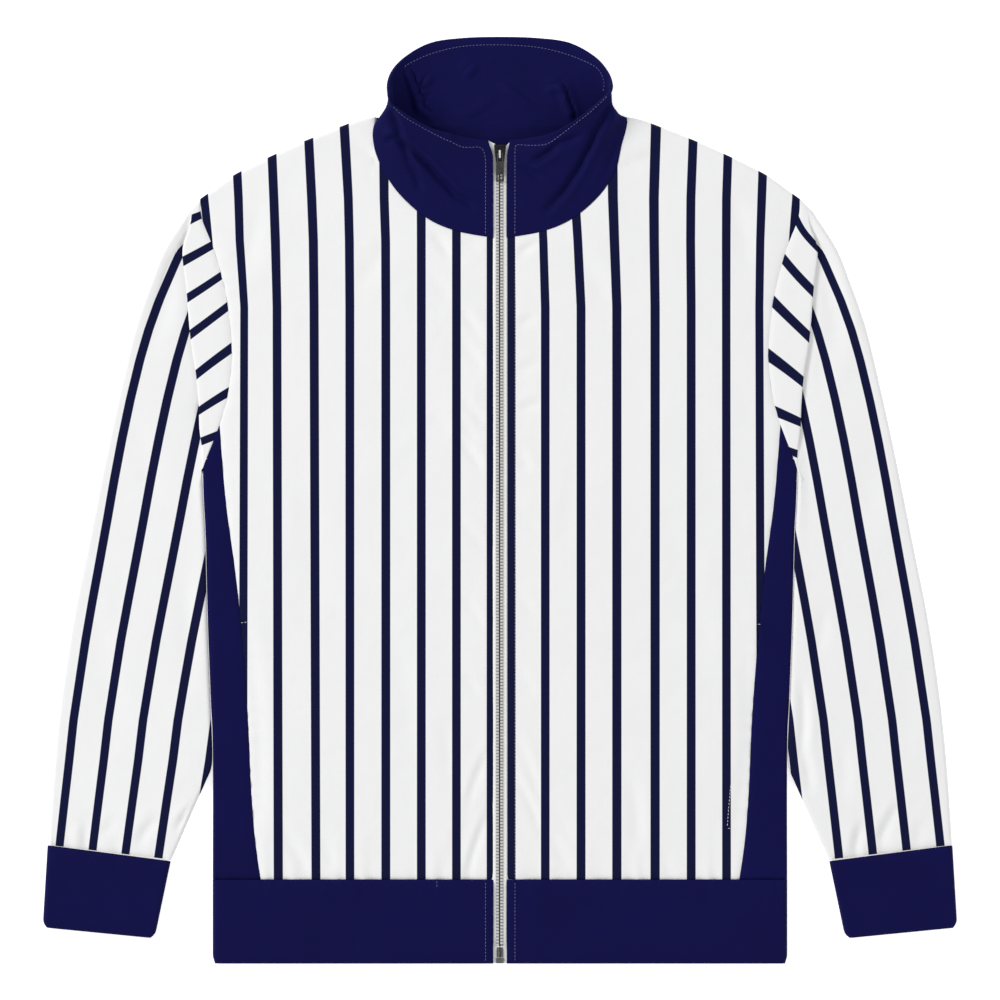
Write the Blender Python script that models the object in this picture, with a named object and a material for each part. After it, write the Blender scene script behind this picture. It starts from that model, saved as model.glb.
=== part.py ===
"""A zip-up track jacket laid flat on its back, front panels up, sleeves beside the body.

X runs across the jacket with the wearer's left at +X, Y runs up it towards the collar, and Z
is up from the surface that it lies on. The origin is the middle of its outline, at that surface.
Every length below is in millimetres. MM turns them to metres when a mesh is made.
Tables give one half of the jacket, with `across` measured from the zip, and the other half is
its mirror image.
"""

import math
from collections import namedtuple

import bmesh
import bpy
from mathutils import Vector

MM = 0.001

# ---- Cloth ----
WALL = 1.5  # single knit
SLEEVE_WALL = 1.0  # the same knit, pressed thin where it is pleated
DOUBLE = 2.4  # folded knit of the collar, hem band and cuffs
THICK = 6.4  # body and sleeves, front cloth over back cloth
BAND_THICK = 8.0  # hem band
CUFF_THICK = 7.4
SEAM = 0.3  # gap between two pieces at a seam
CORNER_GAP = 1.2  # between the shoulder seam's end and the sleeve
SIDE_GAP = 0.5  # between the body's side and the sleeve that lies against it

# ---- Body ----
HEM_TOP = -314.6
HEM_BOTTOM = -384.3
TAPE_SHOWS = 5.6  # half of the zip tape that shows between the fronts

# ---- Zip ----
CHAIN_HALF = 3.2
CHAIN_THICK = 2.6
TAPE_THICK = 0.9
TAPE_HALF = 14.0
ZIP_LEVEL = 4.05  # height of the tape's middle on the body
ZIP_RISE = 3.6  # how far it climbs with the collar
ZIP_CLIMB_FROM = 217.0
ZIP_CLIMB_TO = 298.0

# ---- Outlines ----
Spot = namedtuple("Spot", "across up")

SHOULDER = (
    Spot(106.4, 318.0),
    Spot(139.0, 307.1),
    Spot(169.7, 294.6),
    Spot(196.3, 282.2),
    Spot(220.4, 269.8),
    Spot(238.2, 257.3),
    Spot(245.3, 252.3),
)
ARMHOLE = (
    Spot(245.3, 252.3),
    Spot(246.8, 231.6),
    Spot(238.2, 210.0),
    Spot(230.2, 183.0),
    Spot(225.4, 157.7),
    Spot(222.4, 126.2),
    Spot(223.1, 108.0),
    Spot(225.9, 86.0),
    Spot(233.0, 58.5),
)
UNDERARM = (Spot(233.0, 58.5), Spot(246.5, 26.6))  # top edge of the side panel
SIDE = (
    Spot(246.5, 26.6),
    Spot(245.7, 0.0),
    Spot(244.0, -33.2),
    Spot(242.4, -99.6),
    Spot(239.9, -166.0),
    Spot(238.2, -206.0),
    Spot(238.2, -314.6),
)
SIDE_SEAM = (
    Spot(233.0, 58.5),
    Spot(227.4, 0.0),
    Spot(219.6, -58.0),
    Spot(215.0, -101.0),
    Spot(209.2, -176.8),
    Spot(206.3, -240.0),
    Spot(203.0, -282.0),
    Spot(198.4, -314.6),
)
SLEEVE_OUTER = (
    Spot(259.8, 239.0),
    Spot(263.9, 232.4),
    Spot(279.7, 207.5),
    Spot(289.7, 182.6),
    Spot(298.8, 157.7),
    Spot(306.3, 132.8),
    Spot(317.9, 83.0),
    Spot(328.7, 33.2),
    Spot(342.0, -33.2),
    Spot(355.2, -99.6),
    Spot(365.2, -166.0),
    Spot(371.0, -224.1),
    Spot(375.2, -286.1),
)
SLEEVE_FLARE = (  # inner edge of the sleeve, where it leaves the body's side
    Spot(239.4, -222.0),
    Spot(243.6, -232.4),
    Spot(249.6, -246.0),
    Spot(258.1, -265.6),
    Spot(265.5, -283.0),
    Spot(272.8, -299.1),
)
PLEAT = (  # folded edge of the pleat beside the armhole
    Spot(258.6, 240.4),
    Spot(258.4, 226.6),
    Spot(263.2, 205.0),
    Spot(260.1, 175.1),
    Spot(256.5, 132.0),
    Spot(252.3, 105.4),
    Spot(249.8, 78.0),
    Spot(249.0, 46.5),
    Spot(247.2, 18.3),
)
CUFF_TOP = (Spot(375.2, -286.4), Spot(273.1, -299.6))
CUFF_END = (Spot(379.3, -354.4), Spot(286.4, -363.5))

# The collar from the middle of the back round to the zip: the seam at its foot, the belly that
# bends its wall, and its top edge, as places on its outer face.
Rib = namedtuple("Rib", "seam belly edge")
COLLAR = (
    Rib((0.0, 309.6, 0.0), (0.0, 350.0, 0.0), (0.0, 384.3, 0.0)),
    Rib((31.5, 309.9, 0.0), (31.5, 350.0, 0.0), (31.5, 383.3, 0.0)),
    Rib((59.8, 311.2, 0.0), (60.0, 348.0, 0.0), (58.1, 379.3, 0.8)),
    Rib((81.3, 313.3, 0.0), (82.0, 343.0, 0.5), (78.8, 367.7, 5.0)),
    Rib((95.4, 315.8, 0.3), (97.0, 336.0, 3.0), (90.1, 354.4, 13.0)),
    Rib((102.4, 318.0, 2.6), (101.0, 326.0, 10.0), (93.3, 342.0, 23.0)),
    Rib((105.4, 312.0, 5.8), (99.0, 318.0, 16.0), (91.7, 333.7, 27.0)),
    Rib((103.9, 294.0, 7.2), (97.0, 308.0, 19.0), (83.8, 326.2, 26.5)),
    Rib((97.1, 273.5, 7.4), (88.0, 298.0, 19.0), (72.2, 318.7, 24.0)),
    Rib((83.0, 253.1, 7.4), (73.0, 284.0, 16.5), (57.3, 310.8, 20.5)),
    Rib((61.4, 234.1, 7.4), (52.0, 271.0, 13.5), (40.7, 304.2, 17.0)),
    Rib((37.4, 223.3, 7.4), (31.0, 262.0, 11.0), (25.7, 300.0, 13.5)),
    Rib((5.6, 217.3, 7.4), (5.6, 255.0, 9.1), (10.0, 298.0, 11.0)),
)

# The pleat, row by row from the armhole to the sleeve below it: its place before it is folded,
# then folded, as a distance out from the folded edge, and its level above the sleeve.
Tuck = namedtuple("Tuck", "unfolded out level")
TUCKS = (
    Tuck(0.00, None, None),
    Tuck(0.20, None, None),
    Tuck(0.40, -5.0, 3.4),
    Tuck(0.55, -1.8, 3.8),
    Tuck(0.64, -0.4, 3.2),
    Tuck(0.72, 0.0, 2.0),
    Tuck(0.80, -0.3, 0.9),
    Tuck(0.90, 0.7, 0.15),
    Tuck(1.00, 3.0, 0.0),
)
PLEAT_SINK = 2.8  # how far the sleeve is pressed down under the pleat
PLEAT_RISES = (0.0, 0.16)  # shares of the armhole, from the shoulder
PLEAT_FALLS = (0.70, 1.0)
SLEEVE_ROWS = 16

Look = namedtuple("Look", "colour roughness metallic")
WHITE_KNIT = Look((0.87, 0.87, 0.88), 0.85, 0.0)
NAVY_KNIT = Look((0.006, 0.007, 0.055), 0.85, 0.0)
TAPE_WEAVE = Look((0.56, 0.56, 0.56), 0.80, 0.0)
ZIP_METAL = Look((0.30, 0.30, 0.31), 0.35, 1.0)


def mix(start, end, share):
    return start + (end - start) * share


def smooth_step(start, end, value):
    share = min(1.0, max(0.0, (value - start) / (end - start)))
    return share * share * (3.0 - 2.0 * share)


class Line:
    """A smooth line through its stops, read by the share of its length."""

    def __init__(self, stops, steps=12):
        stops = [Vector(stop) for stop in stops]
        self.places = []
        padded = [stops[0], *stops, stops[-1]]
        for before, start, end, after in zip(padded, padded[1:], padded[2:], padded[3:]):
            for step in range(steps):
                self.places.append(self.bend(before, start, end, after, step / steps))
        self.places.append(stops[-1])
        self.reach = [0.0]
        for start, end in zip(self.places, self.places[1:]):
            self.reach.append(self.reach[-1] + (end - start).length)
        self.length = self.reach[-1]

    @staticmethod
    def bend(before, start, end, after, share):
        """Catmull-Rom interpolation between start and end."""
        pull = (end - before) * 0.5
        push = (after - start) * 0.5
        square, cube = share**2, share**3
        return (
            start * (2 * cube - 3 * square + 1)
            + pull * (cube - 2 * square + share)
            + end * (3 * square - 2 * cube)
            + push * (cube - square)
        )

    def at(self, share):
        target = min(1.0, max(0.0, share)) * self.length
        for index in range(1, len(self.reach)):
            if self.reach[index] >= target:
                start = self.reach[index - 1]
                part = (target - start) / (self.reach[index] - start)
                return mix(self.places[index - 1], self.places[index], part)
        return self.places[-1].copy()

    def beside(self, share, gap):
        """The place `gap` to the left of the line, looking along it."""
        along = self.at(share + 0.01) - self.at(share - 0.01)
        return self.at(share) + Vector((-along.y, along.x)).normalized() * gap

    def across_at(self, up):
        """`across` where the line passes this height. The line runs down."""
        for start, end in zip(self.places, self.places[1:]):
            if end.y <= up <= start.y:
                return mix(start.x, end.x, (start.y - up) / (start.y - end.y))
        return self.places[0].x if up > self.places[0].y else self.places[-1].x


def patch(foot, head, left, right, u, v):
    """A sheet stretched over four edges, whose sides bend mainly the cloth beside them."""
    flat = mix(foot(u), head(u), v)
    from_left = left(v) - mix(foot(0.0), head(0.0), v)
    from_right = right(v) - mix(foot(1.0), head(1.0), v)
    return flat + from_left * (1.0 - u) ** 3 + from_right * u**3


def material(name, look):
    made = bpy.data.materials.new(name)
    made.use_nodes = True
    shader = made.node_tree.nodes["Principled BSDF"]
    shader.inputs["Base Color"].default_value = (*look.colour, 1.0)
    shader.inputs["Roughness"].default_value = look.roughness
    shader.inputs["Metallic"].default_value = look.metallic
    made.diffuse_color = (*look.colour, 1.0)
    return made


def add_object(name, bm, look):
    mesh = bpy.data.meshes.new(name)
    bm.to_mesh(mesh)
    bm.free()
    mesh.shade_smooth()
    mesh.set_sharp_from_angle(angle=math.radians(40))
    made = bpy.data.objects.new(name, mesh)
    made.data.materials.append(material(name, look))
    bpy.context.collection.objects.link(made)
    return made


def cloth(name, columns, rows, place, wall, look, flip=False, side=1, ring=False):
    """A grid laid out by place(u, v) on the cloth's outer face, with its wall added inwards."""
    bm = bmesh.new()
    bmesh.ops.create_grid(bm, x_segments=columns, y_segments=rows, size=0.5)
    for vert in bm.verts:
        x, y, z = place(vert.co.x + 0.5, vert.co.y + 0.5)
        vert.co = Vector((x * side, y, z)) * MM
    if ring:
        bmesh.ops.remove_doubles(bm, verts=bm.verts, dist=0.001 * MM)
    if flip != (side < 0):
        bmesh.ops.reverse_faces(bm, faces=bm.faces)
    made = add_object(name, bm, look)
    solid = made.modifiers.new("Wall", "SOLIDIFY")
    solid.thickness = wall * MM
    solid.offset = -1.0
    solid.use_quality_normals = True
    return made


def block(name, low, high, look, round_off=0.0, segments=2):
    """A box between two corners, with its edges rounded."""
    bm = bmesh.new()
    bmesh.ops.create_cube(bm, size=1.0)
    low, high = Vector(low), Vector(high)
    for vert in bm.verts:
        vert.co = Vector(mix(a, b, c + 0.5) for a, b, c in zip(low, high, vert.co)) * MM
    if round_off:
        bmesh.ops.bevel(
            bm,
            geom=bm.edges,
            offset=round_off * MM,
            segments=segments,
            profile=0.5,
            affect="EDGES",
        )
    return add_object(name, bm, look)


# ---- A flattened tube: the section of a sleeve, cuff or hem band ----
Stop = namedtuple("Stop", "tilt share")
ROLL = (0, 45)  # degrees round a rolled edge, from its rim


def whole_ring(shares):
    """Stops round a tube: over the top from one rolled edge to the other, and back below."""
    top = [Stop(tilt, 0.0) for tilt in ROLL]
    top += [Stop(90, share) for share in shares]
    top += [Stop(tilt, 1.0) for tilt in reversed(ROLL)]
    under = [Stop(-stop.tilt, stop.share) for stop in reversed(top[1:-1])]
    return top + under


def even(count):
    return [k / count for k in range(count + 1)]


def share_along(stop, length, radius):
    """How far along the section's line this stop lies, rolled edges and all."""
    inset = radius * (1.0 - math.cos(math.radians(stop.tilt)))
    return (inset + stop.share * (length - 2.0 * inset)) / length


def height_at(stop, radius):
    return radius * (1.0 + math.sin(math.radians(stop.tilt)))


# ---- Lines shared by neighbouring pieces ----
armhole = Line(ARMHOLE)
sleeve_seam = Line([*ARMHOLE, *UNDERARM[1:]])
side_edge = Line(SIDE)
side_seam = Line(SIDE_SEAM)
shoulder = Line(SHOULDER)
back_neck = Line([rib.seam[:2] for rib in COLLAR[:5]] + [SHOULDER[0]])
FOOT_UP = HEM_TOP + SEAM / 2.0
RADIUS = THICK / 2.0


def rib_at(ribs, position):
    """Seam, belly and edge of the collar between its ribs, by a place in their list."""
    index = min(len(ribs) - 2, int(position))
    around = [ribs[min(len(ribs) - 1, max(0, index + step))] for step in (-1, 0, 1, 2)]
    return [Line.bend(*stops, position - index) for stops in zip(*around)]


def armhole_stops():
    """Distances down the armhole at which the sleeve and the body have their rows."""
    flat = armhole.length - RADIUS
    return [RADIUS + flat * k / ARM_ROWS for k in range(ARM_ROWS + 1)]


# ---- Body ----
def panel_right():
    """Outer edge of a front or back: up the side panel's seam and then the armhole."""
    places = []
    for k in range(SEAM_ROWS + 1):
        up = mix(FOOT_UP, UNDERARM[0].up, k / SEAM_ROWS)
        places.append(Vector((side_seam.across_at(up) - SEAM / 2.0, up)))
    for distance in reversed(armhole_stops()[:-1]):
        places.append(armhole.beside(distance / armhole.length, -SEAM / 2.0))
    return places


def body_panel(neck, neck_columns, start, is_back):
    """place(u, v) of a front or back panel from the zip or middle out to the armhole."""
    columns = neck_columns + SHOULDER_COLUMNS
    neck_share = neck_columns / columns
    right_places = panel_right()
    flat_rows = len(right_places) - 1
    reach = [0.0]
    for before, after in zip(right_places, right_places[1:]):
        reach.append(reach[-1] + (after - before).length)

    def rolled(u):
        """0 at the neckline, which is flat, and 1 at the shoulder, which rolls over."""
        return smooth_step(neck_share - 1.2 / columns, neck_share, u)

    def edge(u):
        if u < neck_share:
            return neck(u / neck_share)
        place = shoulder.at((u - neck_share) / (1.0 - neck_share))
        return place - Vector((CORNER_GAP if u > 0.999 else 0.0, 0.0))

    def inwards(u):
        """Direction in which the cloth leaves its top edge."""
        step = 0.6 / columns
        here = edge(u)
        before = (here - edge(max(0.0, u - step))).normalized()
        after = (edge(min(1.0, u + step)) - here).normalized()
        along = before + after
        square = Vector((along.y, -along.x)).normalized()
        down_side = (armhole.at(0.03) - armhole.at(0.0)).normalized()
        return square.lerp(down_side, smooth_step(0.85, 1.0, u)).normalized()

    def inset(u, tilt):
        depth = RADIUS * mix(0.2, 1.0, rolled(u))
        return depth * (1.0 - math.cos(math.radians(tilt)))

    def at_edge(u, tilt):
        gap = SEAM * (1.0 - rolled(u))
        return edge(u) + inwards(u) * (inset(u, tilt) + gap)

    def foot(u):
        return Vector((mix(start, right_places[0].x, u), FOOT_UP))

    def head(u):
        return right_places[-1] if u > 0.999 else at_edge(u, 90.0)

    def left(v):
        return Vector((start, mix(FOOT_UP, head(0.0).y, v)))

    def place(u, v):
        """The last two rows roll over the shoulder to its seam."""
        row = round(v * BODY_ROWS)
        if row <= flat_rows:
            share = reach[row] / reach[-1]
            spot = patch(foot, head, left, lambda _: right_places[row], u, share)
            return spot.x, spot.y, 0.0 if is_back else THICK
        tilt = SHOULDER_TILTS[row - flat_rows - 1]
        spot = at_edge(u, tilt)
        drop = RADIUS * (1.0 - math.sin(math.radians(tilt))) * rolled(u)
        return spot.x, spot.y, drop if is_back else THICK - drop

    return place


SEAM_ROWS = 10
ARM_ROWS = 7
SHOULDER_TILTS = (45.0, 16.0)
BODY_ROWS = SEAM_ROWS + ARM_ROWS + len(SHOULDER_TILTS)
SHOULDER_COLUMNS = 6
NECK_COLUMNS_FRONT = 13
NECK_COLUMNS_BACK = 6
NECK_RIB = 6  # the collar's rib beside the neck point


def front_neckline(share):
    """From the zip round the foot of the collar to the neck point."""
    step = share * NECK_COLUMNS_FRONT / (NECK_COLUMNS_FRONT - 1)
    ribs = [Rib(*(Vector(place) for place in rib)) for rib in COLLAR]
    last = len(ribs) - 1
    if step <= 1.0:
        return rib_at(ribs, mix(last, NECK_RIB, step))[0].to_2d()
    start = Vector(COLLAR[NECK_RIB].seam[:2])
    return mix(start, Vector(SHOULDER[0]), (step - 1.0) * (NECK_COLUMNS_FRONT - 1))


def make_body():
    front = body_panel(front_neckline, NECK_COLUMNS_FRONT, TAPE_SHOWS, False)
    back = body_panel(back_neck.at, NECK_COLUMNS_BACK, 0.0, True)
    front_columns = NECK_COLUMNS_FRONT + SHOULDER_COLUMNS
    back_columns = 2 * (NECK_COLUMNS_BACK + SHOULDER_COLUMNS)

    def whole_back(u, v):
        half = abs(2.0 * u - 1.0)
        x, y, z = back(half, v)
        return (x if u > 0.5 else -x), y, z

    for side, hand in ((1, "left"), (-1, "right")):
        cloth(f"front_{hand}", front_columns, BODY_ROWS, front, WALL, WHITE_KNIT, side=side)
        cloth(f"side_panel_{hand}", 8, SEAM_ROWS, side_panel, WALL, NAVY_KNIT, side=side)
    cloth("back", back_columns, BODY_ROWS, whole_back, WALL, WHITE_KNIT, flip=True)


PANEL_STOPS = (
    Stop(90, 0.0),
    Stop(90, 0.5),
    Stop(90, 1.0),
    Stop(45, 1.0),
    Stop(0, 1.0),
    Stop(-45, 1.0),
    Stop(-90, 1.0),
    Stop(-90, 0.5),
    Stop(-90, 0.0),
)


def side_panel(u, v):
    """From the front seam round the side edge to the back seam."""
    stop = PANEL_STOPS[round(u * (len(PANEL_STOPS) - 1))]
    rim = RADIUS * (1.0 - math.cos(math.radians(stop.tilt)))
    drop = 1.4 * SEAM  # leaves the gap square to the slanting underarm seam
    top, low = UNDERARM[0].up - drop, UNDERARM[1].up - drop

    def across(up):
        seam_x = side_seam.across_at(up) + SEAM / 2.0
        edge_x = side_edge.across_at(up)
        flat = mix(seam_x, edge_x - RADIUS, stop.share)
        return flat + (RADIUS - rim if stop.share == 1.0 else 0.0)

    seam_x, edge_x = UNDERARM[0].across, UNDERARM[1].across
    head = top
    for _ in range(6):
        share = (across(head) - seam_x) / (edge_x - seam_x) if stop.share else 0.0
        head = mix(top, low, min(1.0, max(0.0, share)))
    up = mix(FOOT_UP, head, v)
    return across(up), up, height_at(stop, RADIUS)


def make_hem_band():
    """One doubled band round the foot of the body, open at the zip."""
    radius = BAND_THICK / 2.0
    edge_x = SIDE[-1].across
    flat = 6
    half = [Stop(90, k / flat) for k in range(flat + 1)]
    half += [Stop(tilt, 1.0) for tilt in (60, 30, 0, -30, -60)]
    half += [Stop(-90, k / flat) for k in range(flat, -1, -1)]
    count = 2 * (len(half) - 1)

    def place(u, v):
        index = round(u * count)
        stop = half[min(index, count - index)]
        corner = 1.8 * (1.0 - smooth_step(0.0, 0.12, v)) ** 2
        inner_x = TAPE_SHOWS if stop.tilt > 0 else 0.0
        rim = radius * (1.0 - math.cos(math.radians(stop.tilt)))
        x = mix(inner_x, edge_x - corner - (rim if stop.share == 1.0 else radius), stop.share)
        up = mix(HEM_BOTTOM, HEM_TOP - SEAM / 2.0, v)
        return (x if index <= count // 2 else -x), up, height_at(stop, radius)

    cloth("hem_band", count, 4, place, DOUBLE, NAVY_KNIT)


# ---- Sleeve ----
outer_edge = Line(SLEEVE_OUTER)
inner_edge = Line(
    [Spot(SIDE[0].across + SIDE_GAP, PLEAT[-1].up)]
    + [Spot(spot.across + SIDE_GAP, spot.up) for spot in SIDE[1:-1]]
    + list(SLEEVE_FLARE)
)
pleat_edge = Line([outer_edge.at(0.0), *PLEAT[1:-1], inner_edge.at(0.0)])
LAST_TUCK = len(TUCKS) - 1


def sleeve_ring():
    """Stops round the sleeve, matched to the body's rows along the armhole."""
    flat = sleeve_seam.length - 2.0 * RADIUS
    shares = [(distance - RADIUS) / flat for distance in armhole_stops()]
    return whole_ring([*shares, 1.0])


def pleat_depth(share):
    """0 where the sleeve is smooth, 1 where the pleat is folded fully."""
    rise = smooth_step(*PLEAT_RISES, share)
    fall = smooth_step(*PLEAT_FALLS, share)
    return rise * (1.0 - fall)


def below_pleat(share):
    """First row of the sleeve that shows below the pleat."""
    out = TUCKS[-1].out * math.sqrt(pleat_depth(share))
    return pleat_edge.at(share) + Vector((out, 0.0))


Section = namedtuple("Section", "start start_in end end_in")


def tuck_section(unfolded):
    """Rolled edges of a row of the pleat: their rims, and which way the cloth leaves them."""
    rise, run = UNDERARM[0].up - UNDERARM[1].up, UNDERARM[1].across - UNDERARM[0].across
    inwards = mix(Vector((-1.0, rise / run)), Vector((1.0, 0.0)), unfolded)
    down_seam = (sleeve_seam.at(0.03) - sleeve_seam.at(0.0)).normalized()
    return Section(
        mix(sleeve_seam.beside(0.0, SEAM / 2.0), outer_edge.at(0.0), unfolded),
        mix(down_seam, outer_edge.beside(0.0, -1.0) - outer_edge.at(0.0), unfolded),
        mix(sleeve_seam.beside(1.0, SEAM / 2.0), inner_edge.at(0.0), unfolded),
        inwards,
    )


def sleeve_section(t):
    """Rolled edges of the sleeve, t from the pleat (0) to the cuff (1)."""
    outer = t**1.15 * (1.25 - 0.25 * t)
    inner = t**1.3
    start, end = outer_edge.at(outer), inner_edge.at(inner)
    return Section(
        start,
        outer_edge.beside(outer, -1.0) - start,
        end,
        inner_edge.beside(inner, 1.0) - end,
    )


def on_rim(section, stop):
    """Place of a stop on either rolled edge, or None on the flat between them."""
    rim = RADIUS * (1.0 - math.cos(math.radians(stop.tilt)))
    if stop.share == 0.0:
        return section.start + section.start_in * rim
    if stop.share == 1.0:
        return section.end + section.end_in * rim
    return None


def tuck_place(row, stop):
    """A stop of one of the rows that make the pleat."""
    tuck = TUCKS[row]
    level = height_at(stop, RADIUS)
    spot = on_rim(tuck_section(tuck.unfolded), stop)
    if spot is not None:
        return spot.x, spot.y, level
    share = share_along(stop, sleeve_seam.length, RADIUS)
    seam = sleeve_seam.beside(share, SEAM / 2.0)
    first = below_pleat(share)
    flat = mix(seam, first, tuck.unfolded)
    depth = pleat_depth(share)
    if stop.tilt != 90 or row == 0:
        return flat.x, flat.y, level
    out = (first - seam).normalized()
    base = THICK - PLEAT_SINK

    def folded(one):
        return first + out * (one.out - TUCKS[-1].out)

    if tuck.out is None:
        part = tuck.unfolded / TUCKS[2].unfolded
        spot = mix(seam, folded(TUCKS[2]), part)
        top = mix(THICK, base + TUCKS[2].level, part)
    else:
        spot = folded(tuck)
        top = base + tuck.level
    spot = mix(flat, spot, depth)
    return spot.x, spot.y, mix(level, top, depth)


def sleeve_place(t, stop):
    """A stop of the sleeve, t from the pleat (0) to the cuff (1)."""
    section = sleeve_section(t)
    level = height_at(stop, RADIUS)
    spot = on_rim(section, stop)
    if spot is None:
        share = share_along(stop, sleeve_seam.length, RADIUS)
        chord = mix(outer_edge.at(0.0), inner_edge.at(0.0), share)
        bow = (below_pleat(share) - chord) * (1.0 - t) ** 4
        spot = mix(section.start, section.end, share) + bow
        if stop.tilt == 90:
            level -= PLEAT_SINK * pleat_depth(share) * (1.0 - t) ** 6
    return spot.x, spot.y, level


def make_sleeves():
    rows = LAST_TUCK + SLEEVE_ROWS
    ring = sleeve_ring()

    def place(u, v):
        stop = ring[round(u * len(ring)) % len(ring)]
        row = round(v * rows)
        if row < LAST_TUCK:
            return tuck_place(row, stop)
        return sleeve_place((row - LAST_TUCK) / SLEEVE_ROWS, stop)

    for side, hand in ((1, "left"), (-1, "right")):
        cloth(
            f"sleeve_{hand}",
            len(ring),
            rows,
            place,
            SLEEVE_WALL,
            WHITE_KNIT,
            side=side,
            ring=True,
        )


def make_cuffs():
    ring = whole_ring(even(5))
    top = [Vector(spot) for spot in CUFF_TOP]
    end = [Vector(spot) for spot in CUFF_END]
    shares = (0.0, 0.45, 0.85, 0.96, 1.0)
    pinch = (0.0, 0.0, 0.0, 0.9, 3.0)

    def place(u, v):
        stop = ring[round(u * len(ring)) % len(ring)]
        row = round(v * (len(shares) - 1))
        start = mix(top[0], end[0], shares[row])
        finish = mix(top[1], end[1], shares[row])
        across = (finish - start).normalized() * pinch[row]
        start, finish = start + across, finish - across
        radius = CUFF_THICK / 2.0
        share = share_along(stop, (finish - start).length, radius)
        spot = mix(start, finish, share)
        return spot.x, spot.y, height_at(stop, radius)

    for side, hand in ((1, "left"), (-1, "right")):
        cloth(
            f"cuff_{hand}",
            len(ring),
            len(shares) - 1,
            place,
            DOUBLE,
            NAVY_KNIT,
            side=side,
            ring=True,
        )


# ---- Collar ----
def make_collar():
    """A doubled band that lies on its back and stands at the sides."""
    ribs = [Rib(*(Vector(place) for place in rib)) for rib in COLLAR]
    turn = Vector((-1.0, 1.0, 1.0))
    other = [Rib(*(place * turn for place in rib)) for rib in reversed(ribs[1:])]
    ribs = other + ribs
    columns = 2 * (len(ribs) - 1)

    def place(u, v):
        seam, belly, edge = rib_at(ribs, u * (len(ribs) - 1))
        spot = mix(mix(seam, belly, v), mix(belly, edge, v), v)
        return spot.x, spot.y, max(0.0, spot.z)

    cloth("collar", columns, 6, place, DOUBLE, NAVY_KNIT, flip=True)


def make_neck_facing():
    """Band inside the back of the neck, just below the collar seam."""
    depth = 24.0
    reach = 0.8

    def place(u, v):
        half = abs(2.0 * u - 1.0)
        top = back_neck.at(half * reach)
        up = top.y - SEAM - 0.3 - depth * (1.0 - v) * (1.0 - 0.55 * half**2)
        x = top.x * (1.0 - 0.12 * (1.0 - v))
        return (x if u > 0.5 else -x), up, WALL + SEAM

    cloth("neck_facing", 16, 2, place, 1.0, NAVY_KNIT, flip=True)


# ---- Zip ----
def zip_height(up):
    """Height of the middle of the tape."""
    climb = (up - ZIP_CLIMB_FROM) / (ZIP_CLIMB_TO - ZIP_CLIMB_FROM)
    return ZIP_LEVEL + ZIP_RISE * min(1.0, max(0.0, climb))


TAPE_TOP = 297.6
CHAIN_TOP = 285.5
CHAIN_FOOT = -370.0
ZIP_BENDS = (-384.0, -200.0, 0.0, 217.0, 240.0, 262.0, 285.0, 297.6)


def make_tapes():
    """Woven tape on each side of the chain, with its far edge under the front."""

    def place(u, v):
        up = ZIP_BENDS[round(v * (len(ZIP_BENDS) - 1))]
        flare = 3.2 * smooth_step(283.0, 297.6, up)
        x = mix(CHAIN_HALF + SEAM + flare, TAPE_HALF, u)
        return x, up, zip_height(up) + TAPE_THICK / 2.0

    rows = len(ZIP_BENDS) - 1
    for side, hand in ((1, "left"), (-1, "right")):
        cloth(f"zip_tape_{hand}", 2, rows, place, TAPE_THICK, TAPE_WEAVE, side=side)


def make_chain():
    """The closed teeth as one plain strip, bent up with the collar."""
    bends = [CHAIN_FOOT, -200.0, 0.0, 217.0, 240.0, 262.0, CHAIN_TOP]

    def place(u, v):
        up = bends[round(v * (len(bends) - 1))]
        return mix(-CHAIN_HALF, CHAIN_HALF, u), up, zip_height(up) + CHAIN_THICK / 2.0

    cloth("zip_chain", 2, len(bends) - 1, place, CHAIN_THICK, ZIP_METAL)


SLIDER_MIDDLE = 286.4  # Y of the pull's axis
PLATE_HALF = 5.2
PLATE_FOOT = -8.0  # from the pull's axis
PLATE_HEAD = 8.0
PLATE_IN = 1.65  # from the middle of the tape to the inside of a plate
PLATE_OUT = 2.75
AXIS_ABOVE_PLATE = 1.5
PIN_RADIUS = 0.5


def join(name, parts):
    """Makes one solid of overlapping parts, by Boolean unions with the first."""
    base = parts[0]
    for other in parts[1:]:
        other.hide_render = True
        other.display_type = "WIRE"
        union = base.modifiers.new("Join", "BOOLEAN")
        union.operation = "UNION"
        union.object = other
    base.name = name
    base.data.name = name
    return base


def cut(base, cutter):
    cutter.hide_render = True
    cutter.display_type = "WIRE"
    hole = base.modifiers.new("Cut", "BOOLEAN")
    hole.operation = "DIFFERENCE"
    hole.object = cutter


def zip_tilt():
    return math.atan2(ZIP_RISE, ZIP_CLIMB_TO - ZIP_CLIMB_FROM)


def seat(made, pivot):
    """Puts a piece made about the pull's axis in its place on the sloping zip."""
    made.location = pivot
    made.rotation_euler = (zip_tilt(), 0.0, 0.0)


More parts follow.
